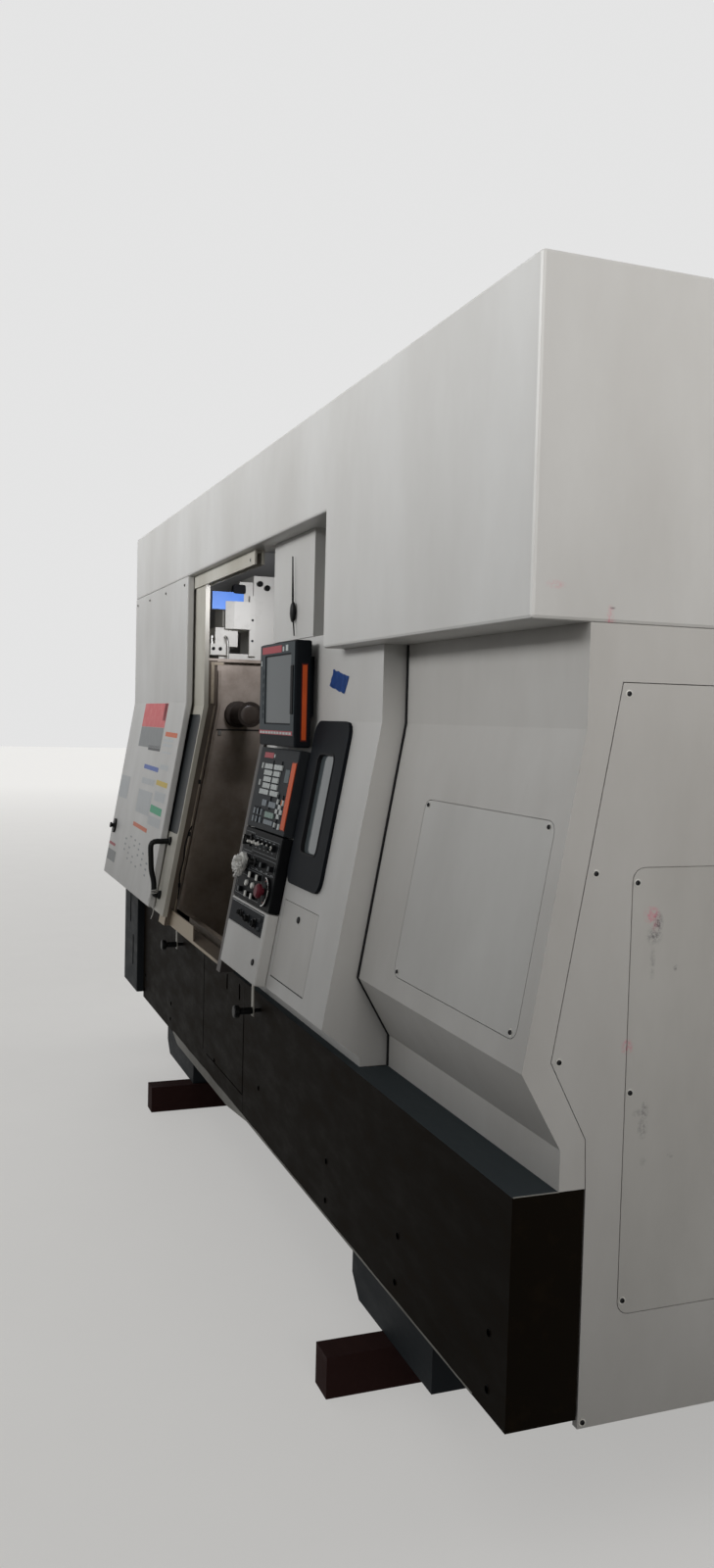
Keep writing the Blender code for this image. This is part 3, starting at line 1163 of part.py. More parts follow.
def make_room():
    """The liner of the machining room, open at the top and over its rear wall."""
    nose = door_y(ROOM_FRONT_Y, DOOR_BOTTOM_Z)
    heel_y = CENTRE_HEEL_Y + 3 * COVER_WALL
    front = [(ROOM_FRONT_Y, ROOM_TOP_Z), (ROOM_FRONT_Y, DOOR_BEND_Z), (nose, DOOR_BOTTOM_Z),
             (heel_y, CENTRE_HEEL_Z), (heel_y, ROOM_FLOOR_Z)]
    outer = front + [(ROOM_BACK_Y, ROOM_FLOOR_Z), (ROOM_BACK_Y, ROOM_TOP_Z)]
    sheet = ROOM_SHEET
    inner_front = offset_path(front, sheet)
    inner_front[0] = (inner_front[0][0], ROOM_TOP_Z + 0.1)
    inner_front[-1] = (inner_front[-1][0], ROOM_FLOOR_Z + sheet)
    inner = inner_front + [(ROOM_BACK_Y - sheet, ROOM_FLOOR_Z + sheet),
                           (ROOM_BACK_Y - sheet, ROOM_TOP_Z + 0.1)]
    right_s, left_s = ROOM_RIGHT_S, ROOM_LEFT_S + sheet
    room = prism("room_liner", outer, PROFILE, *run(right_s, left_s), BROWN_STEEL)
    opening_s = run(OPENING_RIGHT_S + FRAME_RIGHT_JAMB, OPENING_LEFT_S)
    wall_y = (ROOM_FRONT_Y, ROOM_BACK_Y - 2 * sheet)
    half_slot = ROOM_SLOT_WIDTH / 2
    half_view = WINDOW_GLASS_WIDTH / 2
    hole_frame = axes_frame((0, 1, 0), (0, 0, 1), (1, 0, 0), (-left_s, AXIS_Y, AXIS_Z))
    join(room,
         box("left_wall", run(ROOM_LEFT_S, left_s), wall_y, (ROOM_TOP_Z - sheet, ROOM_LEFT_TOP_Z),
             BROWN_STEEL))
    cut(room,
        prism("inside", inner, PROFILE, *run(right_s + sheet, ROOM_LEFT_S), BROWN_STEEL),
        box("doorway", opening_s, (-0.3, 0.4), (ROOM_DOORWAY_Z, ROOM_TOP_Z + 0.1), BROWN_STEEL),
        box("over_wall", run(right_s + sheet, ROOM_LEFT_S), (ROOM_BACK_Y - 2 * sheet, ROOM_BACK_Y + 0.1),
            (ROOM_REAR_WALL_Z, ROOM_TOP_Z + 0.1), BROWN_STEEL),
        box("way_slot", run(right_s + sheet, ROOM_LEFT_S), (AXIS_Y - half_slot, AXIS_Y + half_slot),
            (ROOM_FLOOR_Z - 0.1, ROOM_FLOOR_Z + 2 * sheet), BROWN_STEEL),
        box("view", run(WINDOW_CENTRE_S - half_view, WINDOW_CENTRE_S + half_view), (-0.3, 0.4),
            (WINDOW_BOTTOM_Z, WINDOW_TOP_Z), BROWN_STEEL),
        turned("nose_hole", [(NOSE_RADIUS + 0.005, -0.1), (NOSE_RADIUS + 0.005, 0.1)],
               hole_frame, 32, BROWN_STEEL))
    join(room, box("flange", run(ROOM_LEFT_S - ROOM_FLANGE, left_s), wall_y,
                   (ROOM_LEFT_TOP_Z - sheet, ROOM_LEFT_TOP_Z), BROWN_STEEL))
    make_lamp()


def make_lamp():
    """The round work lamp on the left wall of the room."""
    frame = axes_frame((0, 1, 0), (0, 0, 1), (1, 0, 0), (-ROOM_LEFT_S, LAMP_Y, LAMP_Z))
    turned("work_lamp", [(LAMP_FLANGE_RADIUS, GAP), (LAMP_FLANGE_RADIUS, 0.035),
                         (LAMP_BARREL_RADIUS, 0.045), (LAMP_BARREL_RADIUS, LAMP_LENGTH - 0.01),
                         (LAMP_BARREL_RADIUS - 0.006, LAMP_LENGTH),
                         (LAMP_BARREL_RADIUS - 0.014, LAMP_LENGTH),
                         (LAMP_BARREL_RADIUS - 0.014, LAMP_LENGTH - 0.008)], frame, 24, CAST_PAINT)


def along_machine(s):
    """A frame on the spindle line whose third axis points to the machine's right end."""
    return axes_frame((0, 1, 0), (0, 0, 1), (1, 0, 0), (-s, AXIS_Y, AXIS_Z))


def stand_box(name, right_s, size, low_z):
    """One box over the headstock, sunk a little into what carries it."""
    s_span, y_span, top_z = size
    sunk = 0.010
    return box(name, run(right_s + s_span[0], right_s + s_span[1]), y_span, (low_z - sunk, top_z),
               GREY_STEEL)


def make_headstock():
    """The headstock with its spindle nose, and the drive covers that stand on it."""
    right_s = ROOM_LEFT_S + ROOM_SHEET + GAP
    left_s = right_s + HEAD_LENGTH
    shoulder = 0.12
    outline = [(HEAD_FRONT_Y, WAY_Z + GAP), (HEAD_BACK_Y, WAY_Z + GAP), (HEAD_BACK_Y, HEAD_TOP_Z),
               (HEAD_FRONT_Y + shoulder, HEAD_TOP_Z), (HEAD_FRONT_Y, HEAD_TOP_Z - shoulder)]
    head = prism("headstock", outline, PROFILE, *run(right_s, left_s), GREY_STEEL)
    nose = turned("nose", [(NOSE_RADIUS, -0.05), (NOSE_RADIUS, NOSE_LENGTH - 0.004),
                           (NOSE_RADIUS - 0.004, NOSE_LENGTH)], along_machine(right_s), 40, GREY_STEEL)
    deck = box("deck", run(right_s + DECK_INSET, left_s - 3 * DECK_INSET),
               (DECK_FRONT_Y, AXIS_Y + DECK_BEHIND_AXIS), (HEAD_TOP_Z - 0.02, DECK_TOP_Z), GREY_STEEL)
    join(head, deck, nose,
         stand_box("terminal_box", right_s, TERMINAL_BOX, DECK_TOP_Z),
         stand_box("low_bracket", right_s, LOW_BRACKET, TERMINAL_BOX[2]),
         make_bracket(right_s),
         stand_box("flange", right_s, BRACKET_FLANGE, DECK_TOP_Z),
         stand_box("top_panel", right_s, TOP_PANEL, BRACKET_BOX[2]),
         stand_box("tower", right_s, TOWER, DECK_TOP_Z),
         stand_box("tower_head", right_s, TOWER_HEAD, TOWER[2]))
    smooth(head)
    plate_s = right_s + BRACKET_BOX[0][0] - GAP
    box("blue_plate", run(plate_s - BLUE_PLATE_THICK, plate_s), BLUE_PLATE_Y,
        (BLUE_PLATE_LOW_Z, BLUE_PLATE_TOP_Z), BLUE_PAINT)


def make_bracket(right_s):
    """The bracket box, whose right front corner is cut to a facet."""
    bracket = stand_box("bracket", right_s, BRACKET_BOX, LOW_BRACKET[2])
    near_s, front_y = right_s + BRACKET_BOX[0][0], BRACKET_BOX[1][0]
    corner = [(-near_s, front_y + BRACKET_FACET), (-near_s - BRACKET_FACET, front_y),
              (-near_s - BRACKET_FACET, front_y - 0.01), (-near_s + 0.01, front_y - 0.01),
              (-near_s + 0.01, front_y + BRACKET_FACET)]
    return cut(bracket, prism("corner", corner, PLAN, LOW_BRACKET[2] - 0.1, BRACKET_BOX[2] + 0.1))


def make_chuck():
    """The three-jaw chuck and its stepped jaws."""
    face_s = ROOM_LEFT_S + ROOM_SHEET + GAP - NOSE_LENGTH - GAP
    frame = along_machine(face_s)
    bore, rim = CHUCK_BORE_RADIUS, CHUCK_RADIUS
    rings = [(bore, 0), (rim - 0.008, 0), (rim, 0.008), (rim, CHUCK_LENGTH - 0.010),
             (rim - 0.010, CHUCK_LENGTH), (bore + 0.006, CHUCK_LENGTH), (bore, CHUCK_LENGTH - 0.006)]
    chuck = turned("chuck", rings, frame, 48, BRIGHT_STEEL, hollow=True)
    half = JAW_WIDTH / 2
    floor = CHUCK_LENGTH - JAW_SLOT_DEPTH
    for turn in range(3):
        spoke = frame @ Matrix.Rotation(math.radians(90 + 120 * turn), 4, "Z")
        slot = rectangle(bore + 0.008, rim + 0.02, -half - GAP, half + GAP)
        cut(chuck, prism("slot", slot, spoke, floor - GAP, CHUCK_LENGTH + 0.02))
        jaw = prism(f"chuck_jaw_{turn + 1}",
                    rectangle(JAW_INNER_RADIUS, JAW_OUTER_RADIUS, -half, half), spoke,
                    floor, CHUCK_LENGTH + JAW_REACH, BRIGHT_STEEL)
        step = rectangle(JAW_STEP_RADIUS, JAW_OUTER_RADIUS + 0.01, -half - 0.01, half + 0.01)
        cut(jaw, prism("step", step, spoke, CHUCK_LENGTH + 0.5 * JAW_REACH, CHUCK_LENGTH + 0.2))
        hang_on(jaw, spoke @ Vector((JAW_INNER_RADIUS, 0, CHUCK_LENGTH)))
    smooth(chuck)
    hang_on(chuck, frame.translation)


def make_tailstock():
    """The tailstock on the front ways, with its quill and the live centre."""
    near, far = TAIL_RIGHT_S, TAIL_RIGHT_S + TAIL_LENGTH
    half = WAY_SPREAD / 2
    barrel = TAIL_BARREL_RADIUS
    outline = [(AXIS_Y - half, WAY_Z + GAP), (AXIS_Y + half, WAY_Z + GAP),
               (AXIS_Y + half, ROOM_FLOOR_Z + 0.03), (AXIS_Y + half + 0.04, ROOM_FLOOR_Z + 0.06),
               (AXIS_Y + half + 0.04, ROOM_FLOOR_Z + 0.12), (AXIS_Y + barrel, ROOM_FLOOR_Z + 0.26)]
    for step in range(13):
        angle = math.pi * step / 12
        outline.append((AXIS_Y + barrel * math.cos(angle), AXIS_Z + barrel * math.sin(angle)))
    outline += [(AXIS_Y - barrel, ROOM_FLOOR_Z + 0.26), (AXIS_Y - half - 0.04, ROOM_FLOOR_Z + 0.12),
                (AXIS_Y - half - 0.04, ROOM_FLOOR_Z + 0.06), (AXIS_Y - half, ROOM_FLOOR_Z + 0.03)]
    tail = prism("tailstock", outline, PROFILE, *run(near, far), GREY_STEEL)
    quill_frame = axes_frame((0, 0, 1), (0, 1, 0), (-1, 0, 0), (-far, AXIS_Y, AXIS_Z))
    join(tail, turned("quill", [(QUILL_RADIUS, -0.02), (QUILL_RADIUS, QUILL_LENGTH - 0.005),
                                (QUILL_RADIUS - 0.005, QUILL_LENGTH)], quill_frame, 32, BRIGHT_STEEL))
    smooth(tail)
    hang_on(tail, (-far, AXIS_Y, AXIS_Z))
    tip = TAIL_CENTRE_LENGTH
    collar = TAIL_CENTRE_RADIUS
    cone = collar / math.tan(math.radians(30))
    centre = turned("tail_centre", [(collar, GAP), (collar, tip - cone), (0.001, tip)],
                    axes_frame((0, 0, 1), (0, 1, 0), (-1, 0, 0), (-far - QUILL_LENGTH, AXIS_Y, AXIS_Z)),
                    32, BRIGHT_STEEL)
    hang_on(centre, (-far - QUILL_LENGTH, AXIS_Y, AXIS_Z))


def make_carriage():
    """The travelling carriage, the saddle on its front and the ram through the saddle."""
    half = CARRIAGE_WIDTH / 2
    outline = [(CARRIAGE_FRONT_Y + GAP, REAR_WAY_Z + GAP), (CARRIAGE_BACK_Y, REAR_WAY_Z + GAP),
               (CARRIAGE_BACK_Y, CARRIAGE_TOP_Z - 0.30), (CARRIAGE_BACK_Y - 0.25, CARRIAGE_TOP_Z),
               (CARRIAGE_FRONT_Y + GAP, CARRIAGE_TOP_Z)]
    carriage = prism("carriage", outline, PROFILE, *run(CARRIAGE_S - half, CARRIAGE_S + half),
                     GREY_STEEL)
    hang_on(carriage, (-CARRIAGE_S, CARRIAGE_FRONT_Y, REAR_WAY_Z))
    saddle = box("saddle", run(CARRIAGE_S - SADDLE_WIDTH / 2, CARRIAGE_S + SADDLE_WIDTH / 2),
                 (SADDLE_FRONT_Y, CARRIAGE_FRONT_Y), (SADDLE_BOTTOM_Z, SADDLE_TOP_Z), GREY_STEEL)
    soften(saddle, 0.012)
    guide = RAM_SIZE / 2 + GAP
    hole = rectangle(-CARRIAGE_S - guide, -CARRIAGE_S + guide, RAM_Z - guide, RAM_Z + guide)
    cut(saddle, prism("ram_hole", hole, FRONT, -CARRIAGE_FRONT_Y - 0.01, -SADDLE_FRONT_Y + 0.01))
    hang_on(saddle, (-CARRIAGE_S, CARRIAGE_FRONT_Y, RAM_Z))
    side = RAM_SIZE / 2
    ram = box("ram", run(CARRIAGE_S - side, CARRIAGE_S + side), (RAM_FRONT_Y, RAM_BACK_Y),
              (RAM_Z - side, RAM_Z + side), BRIGHT_STEEL)
    hang_on(ram, (-CARRIAGE_S, RAM_FRONT_Y, RAM_Z))


def make_milling_head():
    """The swivelling milling head and the tool spindle with its cutter."""
    back_y = RAM_FRONT_Y - GAP
    pivot = axes_frame((1, 0, 0), (0, 0, 1), (0, -1, 0), (-CARRIAGE_S, back_y, RAM_Z))
    head = turned("milling_head", [(B_HEAD_RADIUS, 0), (B_HEAD_RADIUS, B_HEAD_DEPTH - 0.02),
                                   (B_HEAD_RADIUS - 0.02, B_HEAD_DEPTH)], pivot, 40, LIGHT_PAINT)
    spindle_y = back_y - B_HEAD_DEPTH / 2
    down = axes_frame((1, 0, 0), (0, -1, 0), (0, 0, -1), (-CARRIAGE_S, spindle_y, RAM_Z))
    reach = RAM_Z - CARTRIDGE_BOTTOM_Z
    join(head, turned("cartridge", [(CARTRIDGE_RADIUS, 0), (CARTRIDGE_RADIUS, reach - 0.03),
                                    (CARTRIDGE_RADIUS - 0.03, reach)], down, 32, LIGHT_PAINT))
    smooth(head)
    hang_on(head, (-CARRIAGE_S, back_y, RAM_Z))
    flange, cutter = TOOL_FLANGE_RADIUS, CUTTER_RADIUS
    length = RAM_Z - TOOL_TIP_Z
    tool = turned("tool_spindle",
                  [(flange, reach + GAP), (flange, reach + 0.025), (0.7 * flange, reach + 0.035),
                   (0.6 * flange, reach + 0.090), (cutter, reach + 0.095), (cutter, length)],
                  down, 28, BRIGHT_STEEL)
    hang_on(tool, (-CARRIAGE_S, spindle_y, CARTRIDGE_BOTTOM_Z))


def make_straps():
    """The two pale straps with the black knobs that clamp the skirt."""
    sill_z = SILL_BOTTOM_Z - GAP
    slope = (CENTRE_NOSE_Z - CENTRE_HEEL_Z) / (CENTRE_NOSE_Y - CENTRE_HEEL_Y)
    under_centre = CENTRE_NOSE_Z + slope * (STRAP_Y + STRAP_THICK - CENTRE_NOSE_Y) - 0.0006
    for side, s, top in (("left", LEFT_STRAP_S, sill_z), ("right", RIGHT_STRAP_S, under_centre)):
        strap = box(f"skirt_strap_{side}", run(s - STRAP_WIDTH / 2, s + STRAP_WIDTH / 2),
                    (STRAP_Y, STRAP_Y + STRAP_THICK), (STRAP_BOTTOM_Z, top), LIGHT_PAINT)
        z = STRAP_BOTTOM_Z + CLAMP_ABOVE_END
        frame = axes_frame((1, 0, 0), (0, 0, 1), (0, -1, 0), (-s, 0, z))
        cut(strap, turned("hole", [(STRAP_HOLE_RADIUS, 0.0), (STRAP_HOLE_RADIUS, 0.1)],
                          frame, 16, LIGHT_PAINT))
        stem = STRAP_HOLE_RADIUS - GAP
        front = -STRAP_Y + GAP
        knob = turned(f"clamp_knob_{side}",
                      [(stem, GAP), (stem, front), (0.013, front), (0.012, CLAMP_REACH - 0.025),
                       (0.023, CLAMP_REACH - 0.018), (0.023, CLAMP_REACH - 0.004),
                       (0.019, CLAMP_REACH)], frame, 16, KNOB_PLASTIC)
        hang_on(knob, frame.translation)


def make_rear():
    """The electrical cabinet across the back, closed by a bolted cover."""
    front_y = BODY_DEPTH + GAP
    back_y = front_y + CABINET_DEPTH
    cabinet = box("rear_cabinet", run(0, LENGTH), (front_y, back_y),
                  (CABINET_BOTTOM_Z, CABINET_TOP_Z))
    soften(cabinet, 0.006)
    margin = REAR_COVER_MARGIN
    cover = box("rear_cover", run(margin, LENGTH - margin), (back_y + GAP, back_y + REAR_COVER_THICK),
                (CABINET_BOTTOM_Z + margin, CABINET_TOP_Z - margin))
    soften(cover, 0.003)


def stand_on_origin():
    """Move the frame so that the machine's footprint is centred on the origin."""
    bpy.context.view_layer.update()
    corners = [piece.matrix_world @ Vector(corner) for piece in bpy.data.objects
               if piece.type == "MESH" for corner in piece.bound_box]
    low = [min(corner[axis] for corner in corners) for axis in range(3)]
    high = [max(corner[axis] for corner in corners) for axis in range(3)]
    machine.location = (-(low[0] + high[0]) / 2, -(low[1] + high[1]) / 2, -low[2])
    bpy.context.view_layer.update()


make_hood()
make_right_body()
make_centre_cover()
make_window()
make_hatch()
make_upper_box()
make_display()
make_keyboard()
make_control_panel()
make_controls()
make_lower_box()
make_skirt()
make_corner_cover()
make_bed()
make_left_cover()
make_left_end()
make_door()
make_opening_frame()
make_room()
make_headstock()
make_chuck()
make_tailstock()
make_carriage()
make_milling_head()
make_straps()
make_rear()
stand_on_origin()
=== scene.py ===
# %% [markdown]
# A CNC turning lathe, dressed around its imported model.
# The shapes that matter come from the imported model, which stays where it is. This lesson
# gives each of its pieces a finish, adds the trim that is too thin for the model, such as
# key caps, screws and films, and ends with the studio. Everything is in metres.

import math

import bmesh
import bpy
from mathutils import Matrix, Vector, noise


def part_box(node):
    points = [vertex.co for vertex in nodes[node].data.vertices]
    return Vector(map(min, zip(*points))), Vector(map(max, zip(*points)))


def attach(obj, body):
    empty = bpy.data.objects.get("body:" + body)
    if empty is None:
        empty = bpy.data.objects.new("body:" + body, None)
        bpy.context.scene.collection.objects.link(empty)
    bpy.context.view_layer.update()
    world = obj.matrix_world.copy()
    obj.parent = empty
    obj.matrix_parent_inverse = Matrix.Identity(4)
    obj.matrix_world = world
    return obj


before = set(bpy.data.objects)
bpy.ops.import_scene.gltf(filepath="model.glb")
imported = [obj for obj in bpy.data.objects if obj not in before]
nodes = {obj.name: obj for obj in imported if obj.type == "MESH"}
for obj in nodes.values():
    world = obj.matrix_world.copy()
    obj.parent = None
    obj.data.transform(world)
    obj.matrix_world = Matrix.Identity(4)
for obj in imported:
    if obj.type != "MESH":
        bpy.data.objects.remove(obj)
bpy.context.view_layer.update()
print("pieces in the packed model:", len(nodes))

# %% [markdown]
# The machine was measured from its right end (s, growing to the left), from the front of
# its hood (y, growing to the back) and from the floor (z). The hood's own corners give
# where that origin lies now, so every place below can be written as measured. Three of its
# covers are upright above a bend and lean out below it, so each has a drawing plane of its
# own that starts at its bend, and the operator panel's plane stands proud of the centre's.

# %% Places on the machine
hood_low, hood_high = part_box("hood")
RIGHT_END = hood_high.x
FRONT = hood_low.y


def at(s, y, z):
    """The point at distance s from the right end, y behind the hood's front, z up."""
    return Vector((RIGHT_END - s, FRONT + y, z))


def plane(origin, right, up):
    """A drawing plane: its first two axes lie in it and its third points out of it."""
    right, up = Vector(right).normalized(), Vector(up).normalized()
    columns = Matrix((right, up, right.cross(up))).transposed().to_4x4()
    return Matrix.Translation(origin) @ columns


def upright(y):
    """A front-facing plane, drawn on with (-s, z)."""
    return plane(at(0, y, 0), (1, 0, 0), (0, 0, 1))


def leaning(y, z, slope):
    """A front face that leans out as it goes down, drawn on with (-s, height from z)."""
    return plane(at(0, y, z), (1, 0, 0), (0, slope, 1))


def sideways(s):
    """A plane that faces the right end, drawn on with (y, z)."""
    return plane(at(s, 0, 0), (0, 1, 0), (0, 0, 1))


END_FACE = sideways(0)
CENTRE_Y, CENTRE_BEND, CENTRE_SLOPE = 0.070, 1.824, 0.162 / 0.883
RIGHT_Y, RIGHT_BEND, RIGHT_SLOPE = 0.142, 1.822, 0.129 / 0.732
COVER_BEND, COVER_SLOPE = 1.890, 0.17
CENTRE_FACE = leaning(CENTRE_Y, CENTRE_BEND, CENTRE_SLOPE)
RIGHT_FACE = leaning(RIGHT_Y, RIGHT_BEND, RIGHT_SLOPE)
COVER_FACE = leaning(0.0, COVER_BEND, COVER_SLOPE)
PANEL_SIDE = 1.575
PANEL_PROUD = 0.040
PANEL_FACE = CENTRE_FACE @ Matrix.Translation((0, 0, PANEL_PROUD))


def rise(z, bend, slope):
    """The distance along a leaning face from its bend to height z."""
    return (z - bend) * math.sqrt(1 + slope * slope)


def on_panel(z):
    """Where height z falls on the centre cover and on the operator panel."""
    return rise(z, CENTRE_BEND, CENTRE_SLOPE)


print("right end at x =", round(RIGHT_END, 4), "and hood's front at y =", round(FRONT, 4))


# %% [markdown]
# The photograph was taken with a wide lens, close to the right end and at eye height. The
# camera below was solved from the machine's upright and level edges, and it is a little
# rolled, as a camera held in the hand is.

# %% Camera
EYE = at(-2.2368, -1.2101, 1.8309)
camera_data = bpy.data.cameras.new("camera")
camera_data.lens = 27.84
camera_data.sensor_width = 36.0
camera = bpy.data.objects.new("camera", camera_data)
bpy.context.scene.collection.objects.link(camera)
azimuth, elevation, roll = math.radians(69.525), math.radians(-3.054), math.radians(1.4396)
looking = Vector((-math.sin(azimuth) * math.cos(elevation),
                  math.cos(azimuth) * math.cos(elevation), math.sin(elevation)))
right = looking.cross(Vector((0, 0, 1))).normalized()
upward = right.cross(looking)
rolled_right = right * math.cos(roll) + upward * math.sin(roll)
rolled_up = upward * math.cos(roll) - right * math.sin(roll)
turn = Matrix((rolled_right, rolled_up, -looking)).transposed().to_4x4()
camera.matrix_world = Matrix.Translation(EYE) @ turn
bpy.context.scene.camera = camera
print("eye height:", round(EYE.z, 3), "and focal length:", camera_data.lens, "mm")

# %% [markdown]
# A shader tree is a set of nodes. One function adds a node, sets its settings and links its
# sockets, so a finish reads as a short list. Colours are written as sRGB hex values, the
# way a paint chart gives them, and turned to linear light here.

# %% Shader helpers


def tone(code):
    """An sRGB hex colour as linear RGBA."""
    values = [int(code[i:i + 2], 16) / 255 for i in (0, 2, 4)]
    return [v / 12.92 if v <= 0.04045 else ((v + 0.055) / 1.055) ** 2.4 for v in values] + [1.0]


def add(owner, kind, wires=None, **settings):
    """Add one shader node. Wires maps a socket to a value or to another node's output."""
    tree = owner.node_tree
    node = tree.nodes.new("ShaderNode" + kind)
    for key, value in settings.items():
        setattr(node, key, value)
    for socket, value in (wires or {}).items():
        if isinstance(value, bpy.types.NodeSocket):
            tree.links.new(value, node.inputs[socket])
        else:
            node.inputs[socket].default_value = value
    return node


def start(name, colour, roughness, metallic=0.0, **sockets):
    """A new material, its Principled shader with these settings, and the place on the object."""
    material = bpy.data.materials.new(name)
    material.use_nodes = True
    shader = material.node_tree.nodes["Principled BSDF"]
    shader.inputs["Base Color"].default_value = tone(colour)
    shader.inputs["Roughness"].default_value = roughness
    shader.inputs["Metallic"].default_value = metallic
    for socket, value in sockets.items():
        shader.inputs[socket.replace("_", " ")].default_value = value
    print("finish:", name)
    return material, shader, add(material, "TexCoord").outputs["Object"]


def wire(owner, output, shader, socket):
    """Link a node's output to a socket of a shader."""
    owner.node_tree.links.new(output, shader.inputs[socket])


# %% [markdown]
# Most finishes end in the same ways. A share picks between two colours, marks change how
# rough the skin is, and a fine noise raises bumps. Each of these is one function, so that a
# finish only says its own colours, sizes and strengths. Sizes are in millimetres here.

# %% What the finishes share
MM = 0.001


def two_tone(material, shader, share, low, high):
    """Colour a finish from low to high as the share grows from 0 to 1."""
    mixed = add(material, "Mix", {0: share, 6: tone(low), 7: tone(high)}, data_type="RGBA").outputs[2]
    wire(material, mixed, shader, "Base Color")
    return mixed


def uneven_shine(material, shader, marks, low, high):
    """Let marks change the roughness from low to high."""
    shine = add(material, "MapRange", {0: marks, 1: 0.3, 2: 0.7, 3: low, 4: high}).outputs[0]
    wire(material, shine, shader, "Roughness")


def bumps(material, shader, place, size, detail, strength, height):
    """Bumps of one size and height, drawn by a noise."""
    fine = add(material, "TexNoise", {"Vector": place, "Scale": 1 / (size * MM), "Detail": detail}).outputs[0]
    bump = add(material, "Bump", {"Height": fine, "Strength": strength, "Distance": height * MM}).outputs[0]
    wire(material, bump, shader, "Normal")


# %% [markdown]
# The covers are sheet steel with a baked powder coat. Powder melts into a skin with a
# faint orange peel, bumps about 2 mm apart, which breaks up a reflection. Years in a shop
# leave broad grey hand and coolant smears that run down, so a noise stretched downward and
# a broad even one tint the colour together, and the stretched one also changes the gloss.

# %% Powder-coated steel


def powder_coat(name, clean, soiled, roughness=0.42):
    """A baked coat with its orange peel and its smears."""
    material, shader, place = start(name, clean, roughness)
    tall = add(material, "Mapping", {"Vector": place, "Scale": (1.0, 1.0, 0.45)}).outputs[0]
    smear = add(material, "TexNoise", {"Vector": tall, "Scale": 1 / (420 * MM), "Detail": 7.0,
                                       "Roughness": 0.58}).outputs[0]
    patch = add(material, "TexNoise", {"Vector": place, "Scale": 1 / (1300 * MM),
                                       "Detail": 3.0}).outputs[0]
    both = add(material, "Math", {0: smear, 1: patch}, operation="MULTIPLY").outputs[0]
    share = add(material, "MapRange", {0: both, 1: 0.14, 2: 0.38, 3: 0.0, 4: 1.0}).outputs[0]
    two_tone(material, shader, share, soiled, clean)
    uneven_shine(material, shader, smear, roughness + 0.10, roughness - 0.06)
    bumps(material, shader, place, 2.2, 1.0, 0.10, 0.06)
    return material


cover_coat = powder_coat("powder_coated_cover_steel", "C0C0BE", "B2B1AE")
# The hood's coat is the covers' coat painted lighter, as painted light; the body's and the end panel's are
# painted darker, as painted shade.
hood_coat_painted_lighter = powder_coat("powder_coat_painted_lighter_for_hood", "C5C5C3", "B7B6B3")
body_coat_painted_darker = powder_coat("powder_coat_painted_darker_for_body", "BCBBB8", "ACAAA6", 0.46)
end_panel_coat_painted_darker = powder_coat("powder_coat_painted_darker_for_end_panel", "BAB9B5", "A7A5A1", 0.46)
panel_coat = powder_coat("powder_coated_panel_steel", "BCBCB9", "AEADAA", 0.46)
inner_coat = powder_coat("powder_coated_inner_steel", "BDBBB2", "A39F93", 0.5)

# %% [markdown]
# The end of the machine carries pink ink and greasy finger marks, half wiped away. Each
# smudge is a soft oval about its own place, broken up by a fine noise, so that it looks
# rubbed on and not drawn. A picture could do it too, but a formula has no pixels to show.

# %% Smudges on the end


def smudge(material, spots, colour):
    """Rub a colour into a material. A spot is (y, z, half width, half height, strength)."""
    shader = material.node_tree.nodes["Principled BSDF"]
    place = add(material, "TexCoord").outputs["Object"]
    broken = add(material, "TexNoise", {"Vector": place, "Scale": 1 / (7 * MM), "Detail": 6.0,
                                        "Roughness": 0.7}).outputs[0]
    broken = add(material, "MapRange", {0: broken, 1: 0.42, 2: 0.62, 3: 0.0, 4: 1.0}).outputs[0]
    total = None
    for y, z, half_wide, half_tall, strength in spots:
        away = add(material, "VectorMath", {0: place, 1: at(0, y, z)}, operation="SUBTRACT").outputs[0]
        away = add(material, "VectorMath", {0: away, 1: (4.0, 1 / half_wide, 1 / half_tall)},
                   operation="MULTIPLY").outputs[0]
        reach = add(material, "VectorMath", {0: away}, operation="LENGTH").outputs["Value"]
        share = add(material, "MapRange", {0: reach, 1: 0.2, 2: 1.1, 3: strength, 4: 0.0}).outputs[0]
        total = share if total is None else add(material, "Math", {0: total, 1: share},
                                                operation="MAXIMUM").outputs[0]
    share = add(material, "Math", {0: total, 1: broken}, operation="MULTIPLY").outputs[0]
    under = shader.inputs["Base Color"].links[0].from_socket
    colour_mix = add(material, "Mix", {0: share, 6: under, 7: tone(colour)}, data_type="RGBA")
    wire(material, colour_mix.outputs[2], shader, "Base Color")


PINK_SPOTS = [(0.321, 1.420, 0.022, 0.020, 0.95), (0.331, 1.400, 0.012, 0.020, 0.5),
              (0.270, 1.132, 0.017, 0.018, 0.85)]
DARK_SPOTS = [(0.338, 1.402, 0.014, 0.026, 0.9), (0.329, 1.374, 0.022, 0.022, 0.8),
              (0.327, 1.315, 0.008, 0.042, 0.4), (0.388, 1.300, 0.007, 0.008, 0.7),
              (0.321, 0.986, 0.010, 0.024, 0.8), (0.303, 0.982, 0.016, 0.010, 0.45),
              (0.317, 0.947, 0.014, 0.026, 0.6), (0.392, 0.878, 0.009, 0.006, 0.7),
              (0.321, 0.872, 0.010, 0.012, 0.3)]
PINK_INK = "D25A78"
smudge(end_panel_coat_painted_darker, PINK_SPOTS, PINK_INK)
smudge(end_panel_coat_painted_darker, DARK_SPOTS, "3E3A42")
smudge(body_coat_painted_darker, PINK_SPOTS[2:], PINK_INK)
smudge(hood_coat_painted_lighter, [(0.055, 2.121, 0.026, 0.010, 0.40), (0.189, 2.062, 0.010, 0.026, 0.45),
                   (0.191, 2.052, 0.014, 0.006, 0.8)], "D4607A")
smudge(hood_coat_painted_lighter, [(0.194, 2.080, 0.008, 0.003, 1.0)], "4A2A38")
print("smudges on the end panel:", len(PINK_SPOTS) + len(DARK_SPOTS))
